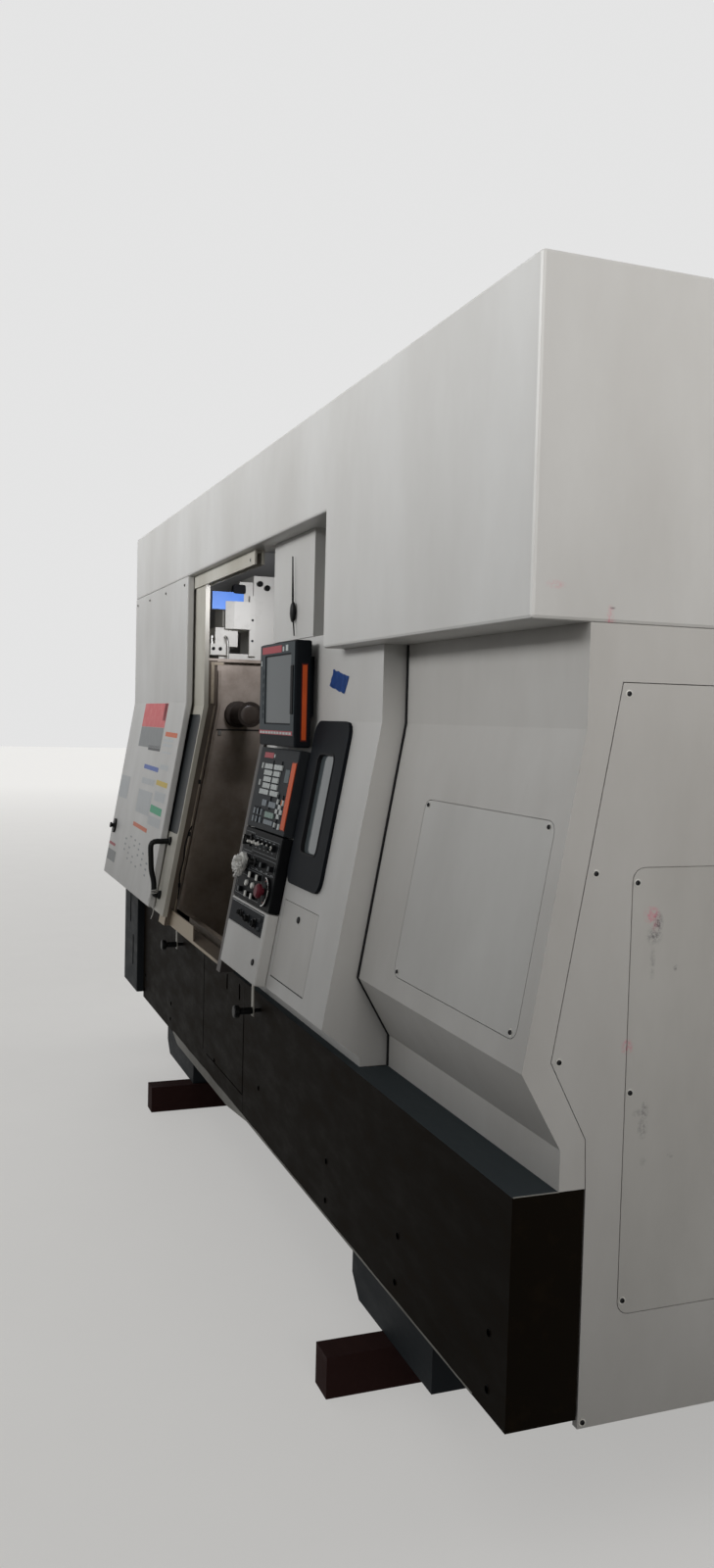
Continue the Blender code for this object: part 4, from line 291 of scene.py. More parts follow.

# %% [markdown]
# The base skirt is folded sheet with a matt, near-black paint. Boots and pallets scuff it,
# so it carries paler rubbed streaks that run level, and its gloss is low and uneven. The
# ledge along its top is painted a lighter grey where it faces up, as painted light from
# above, which the surface's direction picks out.

# %% Skirt paint and cast iron paint


def dark_paint(name, base, rubbed, roughness, specular=0.5, painted_top_light=None):
    """A matt enamel with rubbed streaks, and a lighter colour painted on what faces up, as painted light, if
    one is given.
    """
    material, shader, place = start(name, base, roughness, Specular_IOR_Level=specular)
    long = add(material, "Mapping", {"Vector": place, "Scale": (0.35, 1.0, 1.0)}).outputs[0]
    scuff = add(material, "TexNoise", {"Vector": long, "Scale": 1 / (70 * MM), "Detail": 8.0,
                                       "Roughness": 0.7}).outputs[0]
    share = add(material, "MapRange", {0: scuff, 1: 0.52, 2: 0.78, 3: 0.0, 4: 0.55}).outputs[0]
    colour = two_tone(material, shader, share, base, rubbed)
    if painted_top_light:
        # Faces that look up are painted a lighter grey: painted light from above.
        way = add(material, "SeparateXYZ", {0: add(material, "NewGeometry").outputs["Normal"]}).outputs[2]
        flat = add(material, "MapRange", {0: way, 1: 0.80, 2: 0.95, 3: 0.0, 4: 1.0}).outputs[0]
        lit_top_colour = add(material, "Mix", {0: flat, 6: colour, 7: tone(painted_top_light)}, data_type="RGBA")
        wire(material, lit_top_colour.outputs[2], shader, "Base Color")
    uneven_shine(material, shader, scuff, roughness - 0.05, roughness + 0.15)
    bumps(material, shader, place, 3, 2.0, 0.18, 0.1)
    return material


# The skirt's second grey is painted light on its up-facing ledge.
skirt_paint = dark_paint("matt_enamel_on_skirt_steel", "130F0A", "261E15", 0.50, 0.02,
                         painted_top_light="3A4043")
cast_paint = dark_paint("enamel_on_cast_iron", "1F2326", "33373A", 0.62, 0.15)
beam_paint = dark_paint("red_oxide_primer_on_beam_steel", "2A1715", "3E2A26", 0.80, 0.15)
lamp_paint = dark_paint("brown_enamel_on_lamp_casting", "3E3732", "57504A", 0.60, 0.15)
grey_enamel = dark_paint("cream_enamel_on_inner_castings", "C6C4BC", "A9A69B", 0.45, 0.3)

# %% [markdown]
# The walls of the machining room are stainless sheet that coolant has browned. Rolled
# sheet has a fine grain along its length, and dried coolant leaves brown runs, so a noise
# stretched along the sheet bends the reflection and a second one makes the brown patches.

# %% Coolant-stained stainless


def stained_steel(name, steel, stain, roughness, metal):
    """Rolled sheet with brown patches."""
    material, shader, place = start(name, steel, roughness, metal)
    stain_at = add(material, "TexNoise", {"Vector": place, "Scale": 1 / (180 * MM), "Detail": 8.0,
                                          "Roughness": 0.65}).outputs[0]
    share = add(material, "MapRange", {0: stain_at, 1: 0.38, 2: 0.66, 3: 0.0, 4: 1.0}).outputs[0]
    two_tone(material, shader, share, steel, stain)
    long = add(material, "Mapping", {"Vector": place, "Scale": (0.05, 0.05, 1.0)}).outputs[0]
    bumps(material, shader, long, 1.5, 2.0, 0.12, 0.05)
    return material


room_steel = stained_steel("coolant_stained_stainless", "A3978B", "82766A", 0.48, 0.2)
jamb_steel = stained_steel("worn_jamb_stainless", "B3A794", "7C6F5F", 0.42, 0.3)
seam_steel = stained_steel("dark_seam_stainless", "2C2723", "1F1B18", 0.6, 0.2)

# %% [markdown]
# The frame of the opening is the same sheet, but only the edge that the door wipes is
# still pale. Its sides have gone brown, and toward the operator panel all of it is painted
# nearly black, as painted shade. The surface's own direction tells edge from side.

# %% Frame of the opening


def half_wiped_stainless(name):
    """Pale where it looks forward, brown on its sides, and painted shade toward the operator panel."""
    material, shader, place = start(name, "5E5348", 0.50, 0.2)
    way = add(material, "SeparateXYZ", {0: add(material, "NewGeometry").outputs["Normal"]}).outputs[1]
    along = add(material, "SeparateXYZ", {0: place}).outputs[0]
    runs = add(material, "TexNoise", {"Vector": place, "Scale": 1 / (120 * MM), "Detail": 7.0}).outputs[0]
    brown = add(material, "Mix", {0: runs, 6: tone("3F3730"), 7: tone("6A5E51")}, data_type="RGBA")
    wiped = add(material, "MapRange", {0: way, 1: -0.70, 2: -0.95, 3: 0.0, 4: 1.0}).outputs[0]
    both = add(material, "Mix", {0: wiped, 6: brown.outputs[2], 7: tone("A2947F")}, data_type="RGBA")
    # Painted shade: the frame darkens to nearly black toward the operator panel.
    shaded = add(material, "MapRange", {0: along, 1: RIGHT_END - 2.35, 2: RIGHT_END - 2.20,
                                        3: 0.0, 4: 1.0}).outputs[0]
    mixed = add(material, "Mix", {0: shaded, 6: both.outputs[2], 7: tone("2A2522")}, data_type="RGBA")
    wire(material, mixed.outputs[2], shader, "Base Color")
    return material


frame_steel = half_wiped_stainless("half_wiped_frame_stainless")

# %% [markdown]
# Ground steel is the finish of the chuck, the ram and the tool spindle: bare metal with
# fine grinding marks. A metal's colour is its reflection, so its base is nearly white and
# its roughness low, with a stretched noise for the marks. The blackened and the plated
# metals share its function, with marks that run no way in particular.

# %% Ground, blackened and plated metal


def bare_metal(name, colour, roughness, size=4, detail=4.0, dull=0.1, stretch=(1, 1, 1)):
    """Bare or plated metal, uneven in its shine by marks that may all run one way."""
    material, shader, place = start(name, colour, roughness, 1.0)
    long = add(material, "Mapping", {"Vector": place, "Scale": stretch}).outputs[0]
    marks = add(material, "TexNoise", {"Vector": long, "Scale": 1 / (size * MM), "Detail": detail}).outputs[0]
    uneven_shine(material, shader, marks, roughness - 0.06, roughness + dull)
    return material


ground_steel = bare_metal("ground_tool_steel", "BDBBB6", 0.28, 1.2, 3.0, 0.12, stretch=(1.0, 0.06, 0.06))
black_oxide = bare_metal("black_oxide_screw_steel", "2A2A2B", 0.42)
zinc_plate = bare_metal("zinc_plated_steel", "B8B7B2", 0.34)
polished_ring = bare_metal("polished_aluminium_ring", "C9C8C6", 0.22)

# %% [markdown]
# The operator panel and the knobs are moulded plastic: ABS with a fine spark-eroded grain
# for the cases, and a glossier phenolic for knobs. The grain is really about 0.3 mm and
# would vanish in the picture, so it is drawn at 0.9 mm, and its bump softens the highlight.

# %% Moulded plastics


def moulded(name, colour, roughness, grain=0.9, worn=None, specular=0.3):
    """A moulded plastic or rubber with its grain and, if given, a worn or dusty second colour."""
    material, shader, place = start(name, colour, roughness, Specular_IOR_Level=specular)
    bumps(material, shader, place, grain, 1.0, 0.2, 0.04)
    dust = add(material, "TexNoise", {"Vector": place, "Scale": 1 / (45 * MM), "Detail": 6.0}).outputs[0]
    share = add(material, "MapRange", {0: dust, 1: 0.45, 2: 0.75, 3: 0.0, 4: 0.4}).outputs[0]
    two_tone(material, shader, share, colour, worn or colour)
    return material


panel_abs = moulded("black_abs_panel_case", "101317", 0.55, worn="171B1F", specular=0.05)
keyboard_abs = moulded("grey_black_abs_keyboard", "1E2124", 0.55, worn="272B2E", specular=0.08)
control_plate = moulded("black_anodised_control_plate", "0A0B0D", 0.50, 1.6, worn="121416", specular=0.04)
bezel_abs = moulded("grey_abs_display_bezel", "2C3337", 0.55, worn="363E42", specular=0.14)
port_smoke = moulded("smoked_plastic_port_door", "3E494D", 0.45, worn="485357", specular=0.2)
knob_phenolic = moulded("black_phenolic_knob", "090A0A", 0.40, 1.6, worn="141515", specular=0.12)
stop_abs = moulded("red_abs_stop_button", "541823", 0.45, worn="662A36", specular=0.12)
white_abs = moulded("white_abs_handwheel", "CFCFCB", 0.40, worn="BDBCB6")
key_light = moulded("light_grey_key_cap", "B2B7B6", 0.5, worn="A4A9A8")
key_grey = moulded("middle_grey_key_cap", "6E767C", 0.5, worn="626A70")
key_green = moulded("green_grey_key_cap", "748A82", 0.5, worn="687C75")
key_orange = moulded("orange_key_cap", "B2683C", 0.5, worn="A25C34")
orange_strip = moulded("orange_polycarbonate_strip", "C4501F", 0.45, worn="AC451E", specular=0.15)
orange_edge = moulded("dark_red_strip_edge", "4A1512", 0.5, specular=0.15)
rubber_black = moulded("black_rubber_gasket", "0F1012", 0.7, 1.2, worn="191B1D", specular=0.15)
# Near-black with no shine: painted shade, put in the holes, joints and grip slots of the skirt.
painted_gap_shade = moulded("black_painted_shade_in_gaps", "040404", 0.9, 1.2, specular=0.0)
dim_abs = moulded("dim_grey_abs_lever", "3E4244", 0.5, specular=0.2)
wrap_film = moulded("crumpled_clear_wrap", "C9C9C6", 0.30, 6.0, worn="B4B3AE", specular=0.5)
blue_tape = moulded("blue_vinyl_tape", "1C4C96", 0.55, 3.0, worn="2A5CA8")
blue_enamel = moulded("blue_enamel_on_bracket_steel", "4C86E0", 0.4, worn="3F76CC")

# %% [markdown]
# The films on the left cover are vinyl with a soft gloss, and sunlight has faded each one
# unevenly, which the second colour gives. Here they are plain fields and nothing more.

# %% Vinyl films


def film(name, colour, faded):
    """A vinyl film and the colour that it has faded to."""
    return moulded("vinyl_film_" + name, colour, 0.42, 2.5, worn=faded, specular=0.15)


film_red = film("red", "C9575A", "D98A88")
film_dark_red = film("dark_red", "98303A", "8A3039")
film_grey = film("grey", "7C7F80", "8A8D8E")
film_black = film("black", "3A3C3E", "4A4C4E")
film_orange = film("orange", "C8643A", "B5593A")
film_blue = film("blue", "4A62A8", "5A70B0")
film_yellow = film("yellow", "C9B04A", "B8A24C")
film_green = film("green", "2F9A72", "3A8C6C")
film_pale = film("pale", "B5B9BB", "A9AEB0")
film_ink = film("printed_grey", "8C9194", "9A9FA2")

# %% [markdown]
# Two kinds of glass show. The display and the fixed window look grey-green, because they
# reflect a bright room over something dark, and the door's window is dark and dull. Each
# gets a dark base with a clear gloss, which reads as glass from every side and exports well.

# %% Glass


def glass(name, colour, haze, clear, roughness, patch, detail, tall=1.0, **sockets):
    """Glass over something dark, with patches of haze between two colours."""
    material, shader, place = start(name, colour, roughness, **sockets)
    long = add(material, "Mapping", {"Vector": place, "Scale": (1, 1, tall)}).outputs[0]
    dirt = add(material, "TexNoise", {"Vector": long, "Scale": 1 / (patch * MM), "Detail": detail}).outputs[0]
    two_tone(material, shader, dirt, haze, clear)
    return material


screen_glass = glass("anti_glare_display_glass", "363E42", "2E3639", "374043", 0.30, 160, 3.0,
                     IOR=1.5, Specular_IOR_Level=0.25)
window_glass = glass("laminated_window_glass", "5A6265", "454D50", "5C6365", 0.12, 90, 6.0,
                     tall=0.3, IOR=1.52)
door_glass = moulded("dark_polycarbonate_door_window", "303335", 0.40, 4.0, worn="3A3D3F", specular=0.12)
lamp_glass = moulded("dusty_lamp_glass", "544B44", 0.30, 5.0, worn="463F39", specular=0.4)

# %% [markdown]
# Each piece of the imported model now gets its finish. A dictionary from finish to pieces
# reads like a painter's list, and the last line prints what it leaves out.

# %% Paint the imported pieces
PAINT_LIST = {
    hood_coat_painted_lighter: ["hood"],
    cover_coat: ["centre_cover", "left_cover", "left_end_cover", "upper_box", "rear_cabinet",
                 "pendant_box"],
    body_coat_painted_darker: ["right_front_cover", "service_hatch", "right_end_cover"],
    end_panel_coat_painted_darker: ["right_end_panel"],
    panel_coat: ["right_access_panel", "rear_cover"],
    inner_coat: ["door_leaf", "door_rail", "skirt_strap_left", "skirt_strap_right"],
    skirt_paint: ["base_skirt_left", "base_skirt_right"],
    cast_paint: ["bed_casting", "left_corner_cover"],
    lamp_paint: ["work_lamp"],
    beam_paint: ["support_beam_left", "support_beam_right"],
    room_steel: ["room_liner"],
    frame_steel: ["opening_frame"],
    panel_abs: ["window_frame", "display_unit"],
    keyboard_abs: ["keyboard_unit"],
    control_plate: ["control_panel"],
    screen_glass: ["display_screen"],
    window_glass: ["window_glass"],
    door_glass: ["door_window"],
    knob_phenolic: ["antenna", "door_handle", "left_cover_knob", "clamp_knob_left",
                    "clamp_knob_right", "feed_override_knob", "speed_override_knob", "hatch_lock",
                    "pendant_lock"],
    stop_abs: ["emergency_stop"],
    white_abs: ["handwheel", "cycle_start_button", "feed_hold_button"],
    blue_enamel: ["blue_plate"],
    grey_enamel: ["headstock", "tailstock", "carriage", "saddle", "milling_head",
                  "magazine_housing"],
    ground_steel: ["chuck", "chuck_jaw_1", "chuck_jaw_2", "chuck_jaw_3", "tail_centre", "ram",
                   "tool_spindle"],
}
for finish, names in PAINT_LIST.items():
    for name in names:
        nodes[name].data.materials.clear()
        nodes[name].data.materials.append(finish)
bare = sorted(set(nodes) - {name for names in PAINT_LIST.values() for name in names})
print("pieces without a finish:", bare)

# %% [markdown]
# Thin pieces are drawn as flat outlines. Rectangles are given by their edges or by their
# middle, and a corner is rounded with a curve that is pulled toward the corner's point.

# %% Outlines


def box_outline(left, right_edge, low, high):
    """A rectangle by its edges."""
    return [(left, low), (right_edge, low), (right_edge, high), (left, high)]


def around(s, z_up, wide, tall):
    """A rectangle about a point (-s, z_up) of a drawing plane."""
    return box_outline(-s - wide / 2, -s + wide / 2, z_up - tall / 2, z_up + tall / 2)


def rounded(outline, radius, steps=4):
    """Round the corners of a convex outline."""
    points = []
    count = len(outline)
    for index in range(count):
        corner = Vector(outline[index])
        before = (Vector(outline[index - 1]) - corner).normalized() * radius
        after = (Vector(outline[(index + 1) % count]) - corner).normalized() * radius
        for step in range(steps + 1):
            t = step / steps
            points.append(tuple(corner + before * (1 - t) ** 2 + after * t ** 2))
    return points


# %% [markdown]
# Every maker below sets up loops of points, skins them and hands the mesh over to one
# function, which turns its faces out, gives it its finish and lets it ride on a body.
# Working in mesh code, and not with Blender's primitives, keeps each size where it is used.

# %% Skin and finish of a piece


def skin(shape, loops, capped=True):
    """Faces from each loop of points to the next, and over the first and last one."""
    if capped:
        shape.faces.new(loops[0])
        shape.faces.new(loops[-1])
    for lower, upper in zip(loops, loops[1:]):
        for i in range(len(lower)):
            j = (i + 1) % len(lower)
            shape.faces.new((lower[i], lower[j], upper[j], upper[i]))


def finish_piece(name, shape, material, body, smooth=True):
    """Turn a mesh in the making into an object with a finish that rides on a body."""
    bmesh.ops.recalc_face_normals(shape, faces=shape.faces)
    mesh = bpy.data.meshes.new(name)
    shape.to_mesh(mesh)
    shape.free()
    piece = bpy.data.objects.new(name, mesh)
    bpy.context.scene.collection.objects.link(piece)
    mesh.materials.append(material)
    if smooth:
        mesh.shade_smooth()
        mesh.set_sharp_from_angle(angle=math.radians(35))
    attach(piece, body)
    print("piece:", name, "with", len(mesh.polygons), "faces on", body)
    return piece


# %% [markdown]
# A plate is an outline lifted off its face, with a small bevel where an edge width is
# given. A round part is turned from a list of radius and height. Several outlines or
# places can share one piece, as the screws of one panel do.

# %% Makers of plates and turned parts


def lift(name, outlines, face, low, high, material, body="machine", edge=0.0):
    """Plates from outlines, standing from low to high off a face, with a small edge bevel."""
    shape = bmesh.new()
    for outline in outlines:
        points = [Vector(p) for p in outline]
        centre = sum(points, Vector((0, 0))) / len(points)
        loops = [[shape.verts.new(face @ Vector((*p, low))) for p in points]]
        if edge:
            loops.append([shape.verts.new(face @ Vector((*p, high - edge))) for p in points])
            points = [p + (centre - p).normalized() * edge for p in points]
        loops.append([shape.verts.new(face @ Vector((*p, high))) for p in points])
        skin(shape, loops)
    return finish_piece(name, shape, material, body, smooth=False)


def turned(name, rings, places, material, body="machine", steps=20):
    """One piece of equal turnings, each standing on its own place matrix."""
    shape = bmesh.new()
    for place in places:
        loops = []
        for radius, height in rings:
            loops.append([shape.verts.new(place @ Vector((
                radius * math.cos(math.tau * k / steps),
                radius * math.sin(math.tau * k / steps), height))) for k in range(steps)])
        skin(shape, loops)
    return finish_piece(name, shape, material, body)


def stand(face, u, v, out=0.0):
    """A place on a face, for a turned piece."""
    return face @ Matrix.Translation((u, v, out))


# %% [markdown]
# Button-head screws hold the covers. A head is a low dome with a hexagon socket, and it
# sits on a thin washer. The socket is a dark pit, which is what the eye catches from afar.

# %% Screws of the covers
WASHER = [(0.0085, -0.0002), (0.0085, 0.0012), (0.0060, 0.0014)]
HEAD = [(0.0058, 0.0010), (0.0058, 0.0024), (0.0050, 0.0038), (0.0034, 0.0044),
        (0.0030, 0.0044), (0.0028, 0.0018), (0.0003, 0.0016)]


def screws(name, places):
    """Washers and heads of the screws that hold one cover."""
    turned(name + "_washers", WASHER, places, zinc_plate)
    turned(name + "_heads", HEAD, places, black_oxide)


screws("access_panel_screws", [stand(RIGHT_FACE, -s, rise(z, RIGHT_BEND, RIGHT_SLOPE))
                               for z in (1.607, 1.160) for s in (0.728, 0.079)])
screws("end_panel_screws", [stand(END_FACE, y, z) for y in (0.281, 1.306)
                            for z in (0.563, 1.029, 1.492)])
screws("end_cover_screws", [stand(END_FACE, y, z) for y, z in (
    (0.242, 1.900), (0.176, 1.514), (0.101, 1.110), (0.190, 0.302), (1.900, 1.900), (1.900, 0.320))])
screws("left_cover_screws", [stand(upright(0.0), -s, 2.430) for s in (4.55, 4.20, 3.78, 3.35)])
REAR_FACE = plane(at(0, 2.5743, 0), (-1, 0, 0), (0, 0, 1))
screws("rear_cover_screws", [stand(REAR_FACE, s, z)
                             for s in (0.13, 1.2, 2.28, 3.35, 4.42) for z in (0.47, 1.4, 2.46)])

# %% [markdown]
# The display is a flat panel behind a matt bezel. A row of soft keys runs under the screen,
# function keys stand at its left, and the card slot's door closes its right side. An orange
# strip lights the side of the case.

# %% Display
DISPLAY_FACE = upright(-0.012)
SIDE_FACE = sideways(PANEL_SIDE)
bezel = [box_outline(-1.986, -1.580, 2.046, 2.083), box_outline(-1.986, -1.580, 1.770, 1.806),
         box_outline(-1.986, -1.926, 1.806, 2.046), box_outline(-1.618, -1.580, 1.806, 2.046)]
lift("display_bezel", bezel, DISPLAY_FACE, 0.0002, 0.0022, bezel_abs)
lift("display_name_field", [box_outline(-1.962, -1.728, 2.052, 2.076)], DISPLAY_FACE,
     0.0022, 0.0028, film_dark_red)
lift("display_pale_fields", [box_outline(-1.716, -1.700, 2.054, 2.070),
                             box_outline(-1.680, -1.655, 2.054, 2.074),
                             box_outline(-1.976, -1.966, 2.012, 2.030)],
     DISPLAY_FACE, 0.0022, 0.0028, key_light)
lift("soft_key_surround", [box_outline(-1.985, -1.592, 1.771, 1.785)], DISPLAY_FACE,
     0.0022, 0.0027, film_dark_red)
lift("soft_keys", [around(1.960 - 0.0345 * k, 1.7775, 0.024, 0.008) for k in range(11)],
     DISPLAY_FACE, 0.0027, 0.0042, key_light, edge=0.0008)
lift("display_side_keys", [around(1.957, 1.990 - 0.031 * k, 0.030, 0.018) for k in range(6)],
     DISPLAY_FACE, 0.0022, 0.0040, bezel_abs, edge=0.0010)
lift("card_slot_door", [box_outline(-1.612, -1.588, 1.842, 2.004)], DISPLAY_FACE, 0.0022, 0.0060,
     rubber_black, edge=0.0015)
lift("display_strip_edge", [box_outline(0.0095, 0.0310, 1.752, 2.010)], SIDE_FACE, 0.0002, 0.0012,
     orange_edge)
lift("display_strip", [box_outline(0.0125, 0.0280, 1.757, 2.005)], SIDE_FACE, 0.0012, 0.0026,
     orange_strip, edge=0.0008)

# %% [markdown]
# The keyboard has low caps in rows. Each cap is a small plate with a bevel, so that its
# colour and its edge catch the light, and its size and place were measured row by row. The
# caps carry no letters. Caps of one colour share one piece.

# %% Keyboard caps
CAP_TOP, CAP_GAP = 0.0054, 0.0025


def key_row(middle_s, z, wide, tall, parts):
    """A row of equal caps with a gap between them."""
    pitch = wide / parts
    return [around(middle_s + pitch * (part - (parts - 1) / 2), on_panel(z), pitch - CAP_GAP, tall)
            for part in range(parts)]


caps_light = []
for row, (left_s, left_wide, right_s, right_wide) in enumerate((
        (1.884, 0.095, 1.770, 0.092), (1.878, 0.097, 1.775, 0.071), (1.873, 0.090, 1.777, 0.066),
        (1.871, 0.089, 1.777, 0.068), (1.887, 0.108, 1.765, 0.092))):
    caps_light += key_row(left_s, 1.6497 - 0.0225 * row, left_wide, 0.0180, 4)
    caps_light += key_row(right_s, 1.6497 - 0.0225 * row, right_wide, 0.0180, 3)
caps_light += key_row(1.960, 1.650, 0.0155, 0.0205, 1) + key_row(1.960, 1.590, 0.0155, 0.0210, 1)
caps_light += key_row(1.700, 1.5362, 0.0175, 0.0185, 1) + key_row(1.640, 1.5364, 0.0150, 0.0185, 1)
for s, z in ((1.670, 1.5205), (1.6945, 1.5045), (1.6470, 1.5045), (1.670, 1.4885)):
    caps_light += key_row(s, z, 0.0270, 0.0160, 1)
caps_light += key_row(1.689, 1.4588, 0.0155, 0.0160, 1) + key_row(1.640, 1.4567, 0.0185, 0.0195, 1)
caps_grey = key_row(1.853, 1.5229, 0.053, 0.0220, 2) + key_row(1.757, 1.5215, 0.080, 0.0200, 3)
for row in range(2):
    for column in range(3):
        caps_grey += key_row(1.957 - 0.0435 * column, 1.4885 - 0.0275 * row, 0.0170, 0.0210, 1)
caps_grey += key_row(1.766, 1.4605, 0.106, 0.0160, 5)
caps_green = key_row(1.769, 1.4857, 0.104, 0.0195, 4)
caps_orange = key_row(1.652, 1.5364, 0.0130, 0.0185, 1)
for label, caps, material in (("light", caps_light, key_light), ("grey", caps_grey, key_grey),
                              ("green", caps_green, key_green), ("orange", caps_orange, key_orange)):
    lift("key_caps_" + label, caps, PANEL_FACE, 0.0001, CAP_TOP, material, edge=0.0008)
print("key caps:", len(caps_light) + len(caps_grey) + len(caps_green) + len(caps_orange))

# %% [markdown]
# Around the caps lie two bare fields, the smoked door of the memory port, and the orange
# strip at the right, which carries on the one on the display's side.

# %% Fields and strip of the keyboard
lift("keyboard_name_field", [box_outline(-1.972, -1.862, on_panel(1.679), on_panel(1.698))],
     PANEL_FACE, 0.0001, 0.0007, film_dark_red)
lift("keyboard_pale_field", [box_outline(-1.856, -1.842, on_panel(1.682), on_panel(1.694))],
     PANEL_FACE, 0.0001, 0.0007, key_light)
lift("port_door", [box_outline(-1.684, -1.634, on_panel(1.603), on_panel(1.648))], PANEL_FACE,
     0.0001, 0.0022, port_smoke, edge=0.0015)
lift("keyboard_strip_edge", [box_outline(-1.628, -1.5755, on_panel(1.447), on_panel(1.676))],
     PANEL_FACE, 0.0001, 0.0009, orange_edge)
lift("keyboard_strip", [box_outline(-1.6235, -1.5800, on_panel(1.450), on_panel(1.672))], PANEL_FACE,
     0.0009, 0.0030, orange_strip, edge=0.0010)

# %% [markdown]
# The control panel is an anodised plate, printed with thin pale frames around its groups of
# switches and short bars over them. The prints are plates 0.3 mm high, with no wording.

# %% Prints of the control panel


def line_frame(left_s, right_s, low_z, high_z, wide=0.0009):
    """The four lines of a printed frame."""
    low, high = on_panel(low_z), on_panel(high_z)
    return [box_outline(-left_s, -right_s, low, low + wide),
            box_outline(-left_s, -right_s, high - wide, high),
            box_outline(-left_s, -left_s + wide, low, high),
            box_outline(-right_s - wide, -right_s, low, high)]


printed = []
for group in ((2.010, 1.900, 1.345, 1.412), (1.885, 1.600, 1.352, 1.405), (2.010, 1.890, 1.262, 1.338),
              (1.870, 1.600, 1.292, 1.340), (2.010, 1.715, 1.192, 1.286)):
    printed += line_frame(*group)
printed += [around(1.66 + 0.05 * k, on_panel(1.398), 0.022, 0.0022) for k in range(5)]
printed += [around(1.66 + 0.05 * k, on_panel(1.366), 0.016, 0.0020) for k in range(5)]
printed += [around(1.62 + 0.06 * k, on_panel(1.296), 0.026, 0.0020) for k in range(4)]
lift("control_print", printed, PANEL_FACE, 0.0001, 0.0004, film_ink)

# %% [markdown]
# Five toggles stand in a row on zinc-plated collars, and below them lie lit caps in white
# and dim grey. A toggle's lever widens toward its end, so it is turned from five rings.

# %% Toggles and lit caps
SWITCH_TOP = 0.012
toggles = [stand(PANEL_FACE, -(PANEL_SIDE + 0.070 + 0.052 * column), on_panel(1.383), SWITCH_TOP)
           for column in range(5)]
turned("toggle_collars", [(0.0075, 0.0), (0.0075, 0.003), (0.0050, 0.004)], toggles, zinc_plate)
LEVER = [(0.0030, 0.0), (0.0034, 0.012), (0.0052, 0.018), (0.0050, 0.026), (0.0006, 0.028)]
turned("toggle_levers_dim", LEVER, toggles[:2], dim_abs)
turned("toggle_levers_white", LEVER, toggles[2:], white_abs)
lift("lit_button_caps", [around(PANEL_SIDE + s, on_panel(z), 0.0145, 0.0200) for s, z in (
    (0.165, 1.272), (0.255, 1.272), (0.190, 1.205), (0.262, 1.205))],
     PANEL_FACE, SWITCH_TOP, SWITCH_TOP + 0.0045, white_abs, edge=0.0015)
lift("dim_button_caps", [around(PANEL_SIDE + s, on_panel(z), 0.0155, 0.0155) for s, z in (
    (0.052, 1.316), (0.150, 1.318), (0.360, 1.210))],
     PANEL_FACE, SWITCH_TOP, SWITCH_TOP + 0.0035, dim_abs, edge=0.0015)

# %% [markdown]
# A low half ring with a polished rim guards the lower side of the stop button, over a dark
# red field. A ring is a small rectangle carried around a circle, or part of the way.

# %% Stop button's guard


def ring(name, inner, outer, low, high, place, material, body="machine", steps=40, sweep=1.0):
    """A flat ring, or an arc of one, standing on a place."""
    shape = bmesh.new()
    whole = sweep == 1.0
    corners = ((inner, low), (outer, low), (outer, high), (inner, high))
    sections = []
    for k in range(steps if whole else steps + 1):
        angle = math.tau * sweep * (k / steps) - math.pi / 2
        c, s = math.cos(angle), math.sin(angle)
        sections.append([shape.verts.new(place @ Vector((r * c, r * s, h))) for r, h in corners])
    skin(shape, sections + sections[:1] if whole else sections, capped=not whole)
    return finish_piece(name, shape, material, body)


stop_place = stand(PANEL_FACE, -(PANEL_SIDE + 0.072), on_panel(1.238))
ring("stop_button_guard", 0.0440, 0.0490, 0.0002, 0.0080, stop_place, control_plate, sweep=0.5)
ring("stop_guard_rim", 0.0460, 0.0490, 0.0080, 0.0100, stop_place, polished_ring, sweep=0.5)
ring("stop_button_field", 0.0300, 0.0430, 0.0001, 0.0006, stop_place, orange_edge)

# %% [markdown]
# Each override knob has a white mark on its top, which turns with it, and a ring of dots
# on the plate around it, one every 30 degrees of its travel.

# %% Marks of the override knobs
KNOB_TOP = 0.0301
for name, (from_side, z, radius) in {"feed_override_knob": (0.362, 1.383, 0.022),
                                     "speed_override_knob": (0.255, 1.316, 0.016)}.items():
    u, v, dot_reach = -(PANEL_SIDE + from_side), on_panel(z), 1.35 * radius
    mark = box_outline(-0.08 * radius, 0.08 * radius, 0.1 * radius, 0.72 * radius)
    lift(name + "_mark", [mark], stand(PANEL_FACE, u, v, KNOB_TOP), 0.0, 0.0006, white_abs, body=name)
    dots = [stand(PANEL_FACE, u + dot_reach * math.sin(math.radians(a)),
                  v + dot_reach * math.cos(math.radians(a)), 0.0001) for a in range(-150, 151, 30)]
    turned(name + "_scale", [(0.0011, 0.0), (0.0011, 0.0004)], dots, film_ink, steps=8)

# %% [markdown]
# The white box below has a dark port plate let into its upper part, with a few small
# sockets and caps. They are all turned from one profile, scaled by their radius and height.

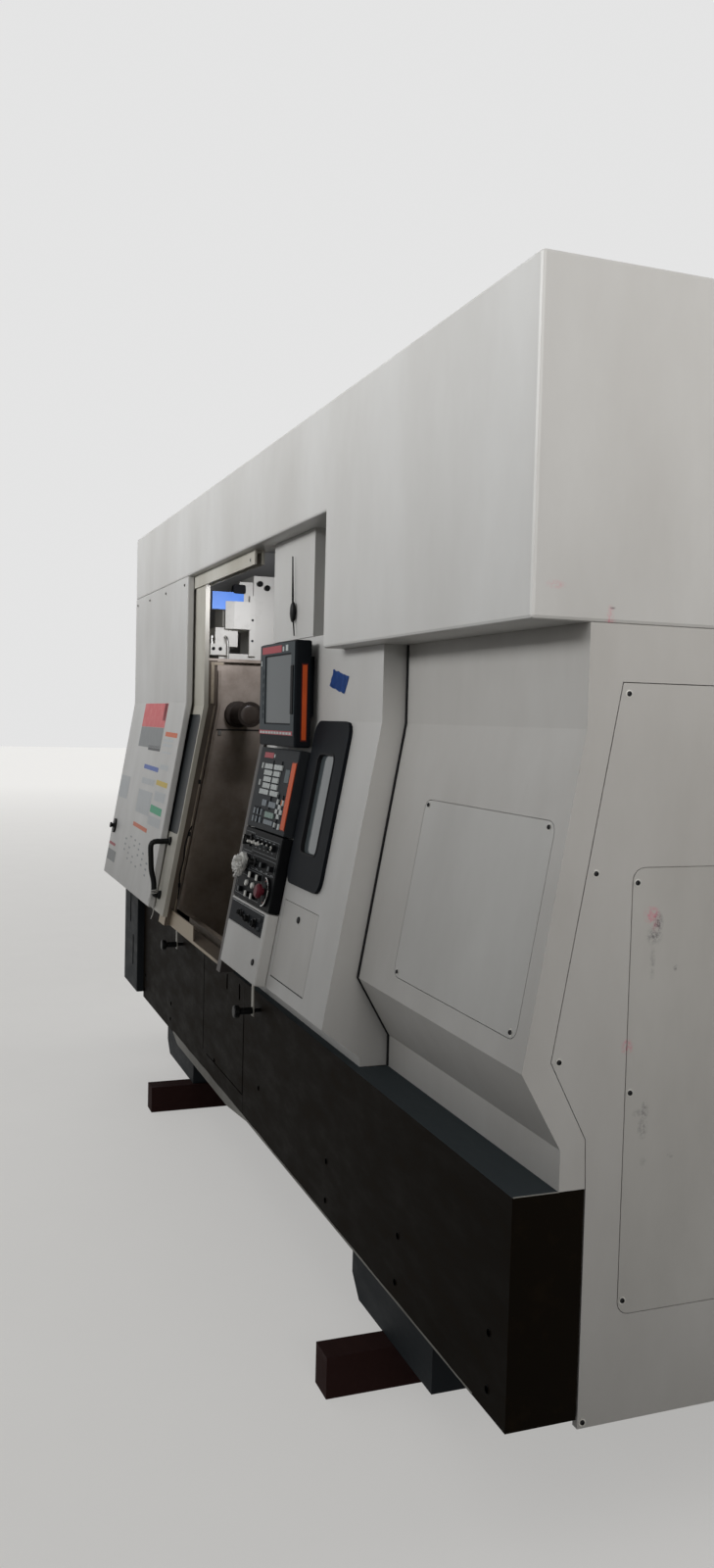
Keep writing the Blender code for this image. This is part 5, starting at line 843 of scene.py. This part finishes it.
# %% Port plate
port_low, port_high, PORT_FACE = on_panel(1.090), on_panel(1.166), -0.0010
lift("port_plate", [box_outline(-2.028, -1.607, port_low, port_high)], PANEL_FACE, -0.0027, PORT_FACE,
     panel_abs)
lift("port_plate_line", [box_outline(-2.020, -1.615, port_high - 0.0045, port_high - 0.0030)],
     PANEL_FACE, PORT_FACE, -0.0006, film_pale)
PORTS = ((1.900, 1.132, 0.010, 0.010), (1.865, 1.130, 0.010, 0.010), (1.790, 1.126, 0.012, 0.016),
         (1.700, 1.124, 0.014, 0.014), (1.650, 1.142, 0.006, 0.008), (1.650, 1.112, 0.006, 0.008))
for index, (s, z, radius, height) in enumerate(PORTS):
    rings = [(1.25 * radius, 0.0), (1.25 * radius, 0.003), (radius, 0.004), (radius, height),
             (0.8 * radius, height + 0.001), (0.7 * radius, height - 0.004), (0.001, height - 0.004)]
    turned(f"port_{index + 1}", rings, [stand(PANEL_FACE, -s, on_panel(z), PORT_FACE)],
           knob_phenolic if index < 4 else dim_abs)

# %% [markdown]
# The fixed window's frame carries a black gasket inside its rounded opening, which is a
# frame between two outlines. The hatch has a thin key plate, and a dark joint below it.

# %% Window gasket and hatch trim


def frame_ring(name, outer, inner, face, low, high, material, body="machine"):
    """A closed frame between two outlines with the same number of points."""
    shape = bmesh.new()
    loops = []
    for outline, height in ((outer, low), (outer, high), (inner, high), (inner, low)):
        loops.append([shape.verts.new(face @ Vector((*p, height))) for p in outline])
    skin(shape, loops + loops[:1], capped=False)
    return finish_piece(name, shape, material, body)


def window_outline(inset, radius):
    """The window's opening, made smaller by an inset on each side."""
    middle, half = -1.385, 0.163 / 2
    return rounded(box_outline(middle - half + inset, middle + half - inset,
                               on_panel(1.395) + inset, on_panel(1.719) - inset), radius, 6)


frame_ring("window_gasket", window_outline(0.0002, 0.030), window_outline(0.006, 0.026), CENTRE_FACE,
           0.0006, 0.0135, rubber_black)
lift("hatch_key_plate", [rounded(around(1.3755, on_panel(1.194), 0.030, 0.044), 0.012)],
     CENTRE_FACE, 0.0001, 0.0003, panel_coat, body="service_hatch")
lift("hatch_lower_joint", [box_outline(-1.548, -1.206, on_panel(0.984), on_panel(0.9875))],
     CENTRE_FACE, -0.0100, 0.0002, rubber_black)

# %% [markdown]
# A strip of blue tape is stuck on the centre cover. It was torn by hand, so its edge is
# uneven, and it lies loosely, so it is slightly crumpled. A grid of points, moved by a
# noise, gives both.

# %% Blue tape
shape = bmesh.new()
corners = [Vector((-1.4275, 1.988)), Vector((-1.281, 1.962)),
           Vector((-1.321, 1.909)), Vector((-1.462, 1.935))]
GRID, TEAR, LUMP = 14, 0.004, 0.0035
rows = []
for j in range(GRID + 1):
    row = []
    for i in range(GRID + 1):
        a, b = i / GRID, j / GRID
        top = corners[0].lerp(corners[1], a)
        low = corners[3].lerp(corners[2], a)
        p = top.lerp(low, b)
        tear = noise.noise(Vector((p.x * 90, p.y * 90, 0))) * TEAR
        lump = abs(noise.noise(Vector((p.x * 40, p.y * 40, 5)))) * LUMP
        row.append(shape.verts.new(upright(CENTRE_Y) @ Vector((p.x + tear, p.y + tear, 0.0004 + lump))))
    rows.append(row)
for j in range(GRID):
    for i in range(GRID):
        shape.faces.new((rows[j][i], rows[j][i + 1], rows[j + 1][i + 1], rows[j + 1][i]))
bmesh.ops.solidify(shape, geom=shape.faces[:], thickness=-0.0002)
finish_piece("blue_tape_patch", shape, blue_tape, "machine")

# %% [markdown]
# The films of the left cover are listed with their measured corners: the left and right
# distance along the machine, and the lower and upper height. Each is a plain field.

# %% Films on the left cover


def cover_up(z):
    """Where height z falls on the left cover."""
    return rise(z, COVER_BEND, COVER_SLOPE)


def cover_field(left_s, right_s, low_z, high_z, lean=0.0):
    """A field whose right side may hang lower than its left one."""
    low, high = cover_up(low_z), cover_up(high_z)
    return [(-left_s, low + lean), (-right_s, low), (-right_s, high), (-left_s, high + lean)]


FILM = 0.0002
FIELDS = (
    ("red_plate", film_red, [cover_field(4.265, 3.668, 1.765, 1.886)]),
    ("red_plate_edge", film_dark_red, [cover_field(3.742, 3.672, 1.800, 1.884)]),
    ("grey_plate", film_grey, [cover_field(4.265, 3.672, 1.660, 1.764)]),
    ("grey_plate_foot", film_black, [cover_field(3.98, 3.674, 1.648, 1.672)]),
    ("orange_fields", film_orange, [cover_field(3.607, 3.335, 1.722, 1.744, 0.004),
                                    cover_field(4.005, 3.632, 1.252, 1.272, 0.006)]),
    ("blue_field", film_blue, [cover_field(3.993, 3.622, 1.548, 1.570, 0.005)]),
    ("yellow_field", film_yellow, [cover_field(3.612, 3.352, 1.486, 1.510, 0.004)]),
    ("green_field", film_green, [cover_field(3.643, 3.372, 1.352, 1.388, 0.004)]),
    ("pale_fields", film_pale, [cover_field(*edges) for edges in (
        (3.632, 3.398, 1.700, 1.712), (3.629, 3.406, 1.676, 1.690), (3.613, 3.398, 1.644, 1.652),
        (3.594, 3.400, 1.566, 1.590), (3.987, 3.668, 1.478, 1.508), (4.02, 3.66, 1.330, 1.446),
        (3.60, 3.352, 1.415, 1.460), (3.65, 3.36, 1.296, 1.340), (4.595, 4.32, 1.370, 1.490))]),
    ("corner_red_field", film_dark_red, [cover_field(4.595, 4.405, 1.104, 1.119)]),
    ("corner_grey_field", film_grey, [cover_field(4.595, 4.345, 1.022, 1.080)]),
)
for label, material, outlines in FIELDS:
    lift("film_" + label, outlines, COVER_FACE, FILM, FILM + 0.0004, material)

# %% [markdown]
# Under the films stand rows of small printed marks, drawn here as bars of uneven width. A
# smooth noise gives the widths, so the rows come out the same in every run.

# %% Rows of small marks
small_marks = []
for row in range(5):
    for column in range(6):
        s, z = 4.12 - 0.125 * column, 1.205 - 0.028 * row - 0.006 * column
        wide = 0.020 + 0.030 * (0.5 + 0.5 * noise.noise(Vector((3.1 * column, 2.7 * row, 0))))
        if (row * 5 + column * 3) % 4:
            small_marks.append(around(s, cover_up(z), wide, 0.009))
lift("film_small_marks", small_marks, COVER_FACE, FILM, FILM + 0.0004, film_ink)

# %% [markdown]
# The base skirt has a few small holes. They are discs of painted shade with a raised rim,
# a hair off the sheet, because the imported skirt is closed there.

# %% Holes of the skirt
SKIRT_FACE = upright(0.0)
HOLE, RIM = 0.0086, 0.0102
holes = [(1.190, 0.482), (1.191, 0.360), (0.616, 0.488), (0.627, 0.360), (0.088, 0.490), (0.089, 0.361),
         (4.160, 0.438), (4.175, 0.358), (3.500, 0.437), (3.507, 0.360), (1.95, 0.482), (2.62, 0.40)]
turned("skirt_hole_rims", [(RIM, 0.0), (RIM, 0.0010), (HOLE, 0.0012)],
       [stand(SKIRT_FACE, -s, z, 0.0001) for s, z in holes], skirt_paint)
# The holes' discs are painted shade.
turned("skirt_hole_shade", [(HOLE, 0.0), (HOLE - 0.0002, 0.0013)],
       [stand(SKIRT_FACE, -s, z, 0.0002) for s, z in holes], painted_gap_shade)

# %% [markdown]
# A pale strip of bare sheet shows along the skirt's foot. Near the right end it is only the
# rubbed edge, and past the middle it hangs lower. Both of its edges are worked out from the
# distance along it, and a noise makes the rubbed one uneven.

# %% Pale strip at the foot
SKIRT_FOOT, STRIP_START, STRIP_END, STRIP_PARTS = 0.3101, 0.16, 3.44, 120
STRIP_RUBBED, STRIP_HANGS = 0.0075, 0.032
worn_edge = powder_coat("worn_pale_primer_edge", "8F8E88", "5A5852", 0.6)
shape = bmesh.new()
sections = []
for k in range(STRIP_PARTS + 1):
    s = STRIP_START + (STRIP_END - STRIP_START) * k / STRIP_PARTS
    uneven = 0.75 + 0.5 * noise.noise(Vector((s * 6, 0, 0)))
    rubbed = 1 if s > 2.2 else 0.35 + 0.3 * s
    begun, still = min(1.0, max(0.0, (s - 2.10) / 0.30)), min(1.0, (STRIP_END - s) / 0.10)
    top = SKIRT_FOOT + 0.0030 + STRIP_RUBBED * rubbed * uneven
    foot = SKIRT_FOOT - STRIP_HANGS * begun * still
    sections.append([shape.verts.new(SKIRT_FACE @ Vector((-s, z, h))) for z, h in (
        (foot, 0.0002), (foot, 0.0008), (top, 0.0008), (top, 0.0002))])
skin(shape, sections)
finish_piece("skirt_worn_foot", shape, worn_edge, "machine", smooth=False)

# %% [markdown]
# The left part of the skirt lifts off. Its joint is a line of painted shade on three sides,
# and two grip slots are cut near its top edge. The imported skirt has the slots, so only
# painted shade behind them is added.

# %% Joints and grips of the skirt
# Painted shade in the joint and behind the grip slots.
lift("skirt_panel_joint_shade", [box_outline(-2.828, -2.823, 0.395, 0.815),
                            box_outline(-2.175, -2.170, 0.389, 0.700),
                            box_outline(-2.760, -2.175, 0.389, 0.392)],
     SKIRT_FACE, 0.0001, 0.0006, painted_gap_shade)
lift("skirt_grip_shadows", [rounded(around(s, 0.771, 0.0185, 0.0640), 0.008) for s in (2.240, 2.430)],
     SKIRT_FACE, -0.0080, -0.0060, painted_gap_shade)

# %% [markdown]
# A wire, a hose and a seal are each one section swept along a line. The wire and the hose
# have a round section, carried along a smooth line through a few chosen points. A curve
# object could do that too, but a mesh can be counted and checked like every other piece.

# %% Makers of wires and hoses


def tube(name, points, radius, material, body="machine", steps=10):
    """A round bar along a line of points, with closed ends."""
    points = [Vector(p) for p in points]
    shape = bmesh.new()
    loops = []
    side = Vector((1, 0, 0))
    for index, p in enumerate(points):
        along = (points[min(index + 1, len(points) - 1)] - points[max(index - 1, 0)]).normalized()
        side = (side - along * side.dot(along)).normalized()
        other = along.cross(side)
        loops.append([shape.verts.new(p + radius * (side * math.cos(math.tau * k / steps)
                                                    + other * math.sin(math.tau * k / steps)))
                      for k in range(steps)])
    skin(shape, loops)
    return finish_piece(name, shape, material, body)


def bend_through(corners, steps=8):
    """A smooth line through a list of points, by cubic curves."""
    pts = [Vector(c) for c in corners]
    line = []
    for i in range(len(pts) - 1):
        before, a, b, after = pts[max(i - 1, 0)], pts[i], pts[i + 1], pts[min(i + 2, len(pts) - 1)]
        for k in range(steps):
            t = k / steps
            line.append(0.5 * (2 * a + (b - before) * t + (2 * before - 5 * a + 4 * b - after) * t ** 2
                               + (3 * a - before - 3 * b + after) * t ** 3))
    return line + [pts[-1]]


# %% [markdown]
# A black rubber seal closes the joint between the right body and the centre cover. On the
# machine it is pressed over the sheet's edge, and its black also paints in the shade of the
# joint's gap, so from the front it is the darkest line. It follows the folds of the sheet,
# so its corners are mitred where two faces meet.

# %% Rubber seal of the body joint


def band(name, path, near_s, far_s, low, high, material, body="machine"):
    """A flat strip that lies on folded faces: path is (y, z) from top to bottom."""
    shape = bmesh.new()
    rows = []
    points = [Vector(p) for p in path]
    for index, p in enumerate(points):
        before = (p - points[index - 1]).normalized() if index else None
        after = (points[index + 1] - p).normalized() if index + 1 < len(points) else None
        before, after = before or after, after or before
        out = Vector((before.y, -before.x)) + Vector((after.y, -after.x))
        out = out.normalized() / out.normalized().dot(Vector((after.y, -after.x)))
        rows.append([shape.verts.new(at(s, *(p + out * h))) for s, h in (
            (near_s, low), (far_s, low), (far_s, high), (near_s, high))])
    skin(shape, rows)
    return finish_piece(name, shape, material, body, smooth=False)


# The seal is partly rubber and partly painted shade for the gap of the joint.
band("body_joint_seal_and_shade", [(RIGHT_Y, 2.046), (RIGHT_Y, RIGHT_BEND), (0.013, 1.090), (0.112, 0.917),
                         (0.112, 0.828)], 0.983, 0.9938, 0.0003, 0.0030, rubber_black)

# %% [markdown]
# Over the door opening the boxes of the drive show, with their plugs and covers. Their
# sides all face the right end, so each is one plane, and the bracket is drawn from above.

# %% Boxes over the opening
TERMINAL_FACE, PLATE_FACE = sideways(3.5253), sideways(3.5270)
FROM_ABOVE = plane(at(0, 0, 0), (1, 0, 0), (0, 1, 0))
turned("terminal_plugs", [(0.0085, 0.0001), (0.0085, 0.004), (0.0060, 0.0045), (0.0055, 0.0015),
                          (0.0004, 0.0012)],
       [stand(TERMINAL_FACE, y, 2.155) for y in (0.183, 0.217)], rubber_black)
lift("plate_cap", [rounded(box_outline(0.2760, 0.3390, 2.4250, 2.4690), 0.012)], PLATE_FACE,
     -0.0300, 0.0030, rubber_black, edge=0.002)
lift("bracket_cover", [[(-3.5252, 0.2400), (-3.5060, 0.2790), (-3.5060, 0.3610), (-3.5252, 0.3610)]],
     FROM_ABOVE, 2.253, 2.386, grey_enamel, edge=0.002)

# %% [markdown]
# An angled bar lies in the upper corner of the door's jamb. Behind it, inside the room, a
# round lamp has a painted rim and a domed glass under coolant dust.

# %% Corner bars and lamp
JAMB_FACE, LAMP_FACE = sideways(3.1460), stand(sideways(3.2600), 0.300, 1.840)
lift("corner_bars", [box_outline(0.0800, 0.1400, 2.0595, 2.0730),
                     box_outline(0.0815, 0.0965, 1.8850, 2.0595)],
     JAMB_FACE, 0.0002, 0.0060, jamb_steel, edge=0.001)
ring("lamp_rim", 0.0460, 0.0600, 0.0001, 0.0040, LAMP_FACE, lamp_paint, steps=32)
turned("lamp_glass", [(0.0460, 0.0001), (0.0400, 0.0030), (0.0250, 0.0055), (0.0004, 0.0065)],
       [LAMP_FACE], lamp_glass)

# %% [markdown]
# The drive's boxes have knobs and bolts. A thin pipe rises beside the terminal box and
# bends into the low bracket on it, and three upright fittings stand on the same box. They
# are zinc-plated, so they are the brightest small things up there.

# %% Knobs, bolts, pipe and fittings
turned("tower_knobs", [(0.011, 0.0001), (0.011, 0.014), (0.014, 0.018), (0.014, 0.030), (0.011, 0.033)],
       [stand(sideways(3.5653), y, z) for y, z in ((0.415, 2.480), (0.452, 2.462))], knob_phenolic)
turned("bracket_bolts", HEAD, [stand(TERMINAL_FACE, 0.376, z) for z in (2.200, 2.300)], black_oxide)
tube("oil_pipe", bend_through([at(3.508, 0.251, 2.1053), at(3.508, 0.251, 2.150), at(3.509, 0.250, 2.190),
                               at(3.520, 0.246, 2.212), at(3.5450, 0.244, 2.216)]), 0.0050, zinc_plate)
turned("pipe_fittings", [(0.012, 0.0002), (0.012, 0.012), (0.009, 0.014), (0.009, 0.026), (0.012, 0.028),
                         (0.012, 0.038), (0.006, 0.040)],
       [Matrix.Translation(at(s, 0.182, 2.1790)) for s in (3.560, 3.620, 3.680)], zinc_plate)

# %% [markdown]
# The room's left wall has one lapped seam with a clip. The jamb leans like the covers. It
# carries two bright lines where the door wipes it, and a thin hose, which three clips hold
# and which bulges a little between them.

# %% Wall of the room and jamb of the door
WALL_FACE = sideways(3.5000)
JAMB_Y, JAMB_BEND, JAMB_LEAN, JAMB_FOOT = 0.066, 1.875, 0.18, 0.930


def on_jamb(z, behind):
    """The y of a point at height z, some way behind the leaning front of the jamb."""
    return JAMB_Y - JAMB_LEAN * (JAMB_BEND - z) + behind


lift("wall_seam", [box_outline(0.168, 0.960, 1.7600, 1.7680)], WALL_FACE, 0.0002, 0.0016, seam_steel)
lift("wall_clip", [box_outline(0.206, 0.222, 1.738, 1.760)], WALL_FACE, 0.0002, 0.0060, zinc_plate,
     edge=0.001)
lift("jamb_clips", [box_outline(on_jamb(z, 0.034) - 0.006, on_jamb(z, 0.034) + 0.006, z - 0.010, z + 0.010)
                    for z in (1.531, 1.294, 1.062)], JAMB_FACE, 0.0002, 0.0060, black_oxide, edge=0.001)
jamb_lines = []
for near, wide in ((0.0030, 0.0040), (0.0330, 0.0045)):
    top, foot = on_jamb(JAMB_BEND, near), on_jamb(JAMB_FOOT, near)
    jamb_lines.append([(foot, JAMB_FOOT), (foot + wide, JAMB_FOOT),
                       (top + wide, JAMB_BEND), (top, JAMB_BEND)])
lift("jamb_lines", jamb_lines, JAMB_FACE, 0.0002, 0.0016, jamb_steel)
tube("jamb_hose", bend_through([at(3.1400, on_jamb(z, behind), z) for behind, z in (
    (0.038, 1.330), (0.030, 1.300), (0.024, 1.240), (0.030, 1.180), (0.026, 1.110), (0.034, 1.062),
    (0.038, 1.000))]), 0.0030, rubber_black)

# %% [markdown]
# The door hangs in its rail, which has one open bolt hole near its right end. A piece of
# white wire is tied around the foot of the door handle and hangs down from it. Its winding
# is a helix, and a smooth line through chosen points is its loose end.

# %% Rail hole and wire on the handle
RAIL_HOLE = stand(upright(0.0317), -2.322, 2.432)
ring("rail_hole_rim", 0.0070, 0.0095, 0.0001, 0.0010, RAIL_HOLE, zinc_plate, steps=24)
turned("rail_hole", [(0.0070, 0.0001), (0.0069, 0.0005)], [RAIL_HOLE], rubber_black)
HANDLE_S, HANDLE_FOOT_Y, HANDLE_FOOT_Z = 3.225, -0.146, 1.036
WINDING, STEPS_PER_TURN, DROP_PER_STEP = 0.0150, 9, 0.0008
coil = []
for k in range(29):
    turned_by = math.tau * k / STEPS_PER_TURN
    coil.append(at(HANDLE_S + WINDING * math.cos(turned_by), HANDLE_FOOT_Y + WINDING * math.sin(turned_by),
                   HANDLE_FOOT_Z - DROP_PER_STEP * k))
tail = [coil[-1]] + [at(HANDLE_S + aside, y, z) for aside, y, z in (
    (0.006, -0.166, 0.992), (0.0, -0.168, 0.972), (-0.004, -0.150, 0.950), (-0.004, -0.150, 0.925),
    (-0.002, -0.158, 0.900))]
tube("handle_wire", coil[:-1] + bend_through(tail), 0.0016, white_abs, body="door", steps=8)

# %% [markdown]
# The handwheel is still wrapped in the clear bag it came in. The bag is pulled tight and
# has gone milky, with sharp creases, so a ball of mesh is pressed flat and folded by ridges
# of noise.

# %% Wrap on the handwheel
shape = bmesh.new()
bmesh.ops.create_icosphere(shape, subdivisions=5, radius=1.0)
WRAP_MIDDLE, WRAP_WIDE, WRAP_DEEP, WRAP_TALL = at(1.938, -0.0960, 1.3020), 0.030, 0.022, 0.038
for vertex in shape.verts:
    way = vertex.co.normalized()
    crease = abs(noise.noise(way * 2.3 + Vector((4, 0, 9)))) + 0.5 * abs(noise.noise(way * 5.5))
    neck = 1.0 - 0.35 * max(0.0, way.z)
    reach = Vector((WRAP_WIDE * neck * way.x, WRAP_DEEP * way.y, WRAP_TALL * way.z))
    vertex.co = WRAP_MIDDLE + reach * (1.10 - 0.55 * crease)
finish_piece("handwheel_wrap", shape, wrap_film, "handwheel")
tube("handwheel_wrap_tail", bend_through([at(1.938, -0.098, 1.276), at(1.942, -0.106, 1.268),
                                          at(1.948, -0.108, 1.262), at(1.952, -0.102, 1.258)]),
     0.0042, wrap_film, body="handwheel", steps=7)

# %% [markdown]
# A thin bright line shows along the outer edges of the skirt's ledge. Two thin pale bars
# lie along those edges.

# %% Bright lines on the ledge
LEDGE_TOP = 0.8260
tube("ledge_end_bright_line", [at(0.0006, 0.002 + 0.011 * k, LEDGE_TOP + 0.0002 + 0.0001 * (k % 3))
                        for k in range(11)], 0.0013, worn_edge, steps=6)
tube("ledge_front_bright_line", [at(0.002 + 0.09 * k, 0.0004, LEDGE_TOP) for k in range(15)],
     0.0007, worn_edge, steps=6)

# %% [markdown]
# The studio has a plain floor and a pale background. Both have to look pale without more
# light on the machine, so their colour and glow are raised only for the rays that show
# them: those of the camera, of reflections and of glass. Other rays meet a darker floor.

# %% Finish of the floor


def seen_as_background(owner):
    """One on camera, glossy and transmission rays, and zero on all others."""
    path = add(owner, "LightPath").outputs
    seen = add(owner, "Math", {0: path["Is Camera Ray"], 1: path["Is Glossy Ray"]},
               operation="MAXIMUM").outputs[0]
    return add(owner, "Math", {0: seen, 1: path["Is Transmission Ray"]}, operation="MAXIMUM").outputs[0]


def studio_floor_finish(name):
    """Matt and pale, with a glow that grows with the distance until it meets the background."""
    material, shader, place = start(name, "A9A8A5", 0.8, Specular_IOR_Level=0.2)
    uneven = add(material, "TexNoise", {"Vector": place, "Scale": 3.0, "Detail": 5.0}).outputs[0]
    seen = seen_as_background(material)
    pale = add(material, "Mix", {0: uneven, 6: tone("A6A5A2"), 7: tone("ADACA9")}, data_type="RGBA")
    mixed = add(material, "Mix", {0: seen, 6: tone("5A5752"), 7: pale.outputs[2]}, data_type="RGBA")
    wire(material, mixed.outputs[2], shader, "Base Color")
    shader.inputs["Emission Color"].default_value = tone("E4E3E1")
    away = add(material, "VectorMath", {0: place}, operation="LENGTH").outputs["Value"]
    glow = add(material, "MapRange", {0: away, 1: 4.0, 2: 26.0, 3: 0.52, 4: 0.88}).outputs[0]
    glow = add(material, "Math", {0: glow, 1: seen}, operation="MULTIPLY").outputs[0]
    wire(material, glow, shader, "Emission Strength")
    return material


# %% [markdown]
# The floor is one large square, a hair under the feet.

# %% Floor
EXTENT = 60.0
floor_mesh = bpy.data.meshes.new("studio_floor")
floor_mesh.from_pydata([(-EXTENT, -EXTENT, 0), (EXTENT, -EXTENT, 0), (EXTENT, EXTENT, 0),
                        (-EXTENT, EXTENT, 0)], [], [(0, 1, 2, 3)])
floor_mesh.materials.append(studio_floor_finish("pale_studio_floor"))
floor = bpy.data.objects.new("studio_floor", floor_mesh)
floor.location.z = -0.0005
bpy.context.scene.collection.objects.link(floor)

# %% [markdown]
# One long soft light stands high in front of the machine: upright faces get most of it, and
# the faces that fold back at the foot get less, which is what shows the folds. Three more
# long lights serve the ends and the back, and a small one the boxes over the door. The long
# ones point a little upward and are held to a cone, so that little falls on the floor.

# %% Lights


def area_light(name, place, target, size, watts, colour, spread):
    """A soft rectangle of light at a place, turned to a target, with its cone in degrees."""
    data = bpy.data.lights.new(name, "AREA")
    data.spread = math.radians(spread)
    data.shape = "RECTANGLE"
    data.size, data.size_y = size
    data.energy = watts
    data.color = tone(colour)[:3]
    lamp = bpy.data.objects.new(name, data)
    lamp.location = place
    lamp.rotation_euler = (Vector(target) - Vector(place)).to_track_quat("-Z", "Y").to_euler()
    bpy.context.scene.collection.objects.link(lamp)
    print("light:", name, "at", watts, "W")


area_light("front_light", (0.0, -6.2, 4.0), (0.0, -1.2, 5.0), (11.0, 1.6), 250, "FFFFFF", 94)
area_light("end_light", (8.2, -0.8, 3.2), (2.3, 0.2, 3.8), (3.5, 1.6), 60, "FFFBF7", 80)
area_light("back_light", (0.0, 6.4, 3.8), (0.0, 1.3, 4.6), (10.0, 1.6), 150, "FFFFFF", 94)
area_light("left_light", (-8.2, 0.6, 3.2), (-2.3, 0.2, 3.8), (3.5, 1.6), 65, "FFFFFF", 80)
area_light("gap_light", at(2.75, 0.26, 2.40), at(3.60, 0.30, 2.25), (0.30, 0.12), 2.0, "F6F7FF", 100)

# %% [markdown]
# The world's even light fills what the lamps leave dark, so that together a clean upright
# face shows about the colour that its coat is given. The same rays as above see it brighter.

# %% World
world = bpy.data.worlds.new("studio_world")
bpy.context.scene.world = world
world.use_nodes = True
sky = world.node_tree.nodes["Background"]
sky.inputs["Color"].default_value = tone("FFFFFF")
FILL, BACKGROUND = 0.28, 0.78
strength = add(world, "MapRange", {0: seen_as_background(world), 1: 0.0, 2: 1.0,
                                   3: FILL, 4: BACKGROUND}).outputs[0]
wire(world, strength, sky, "Strength")
bpy.context.scene.view_settings.view_transform = "Standard"
print("world light:", FILL, "and seen as:", BACKGROUND)
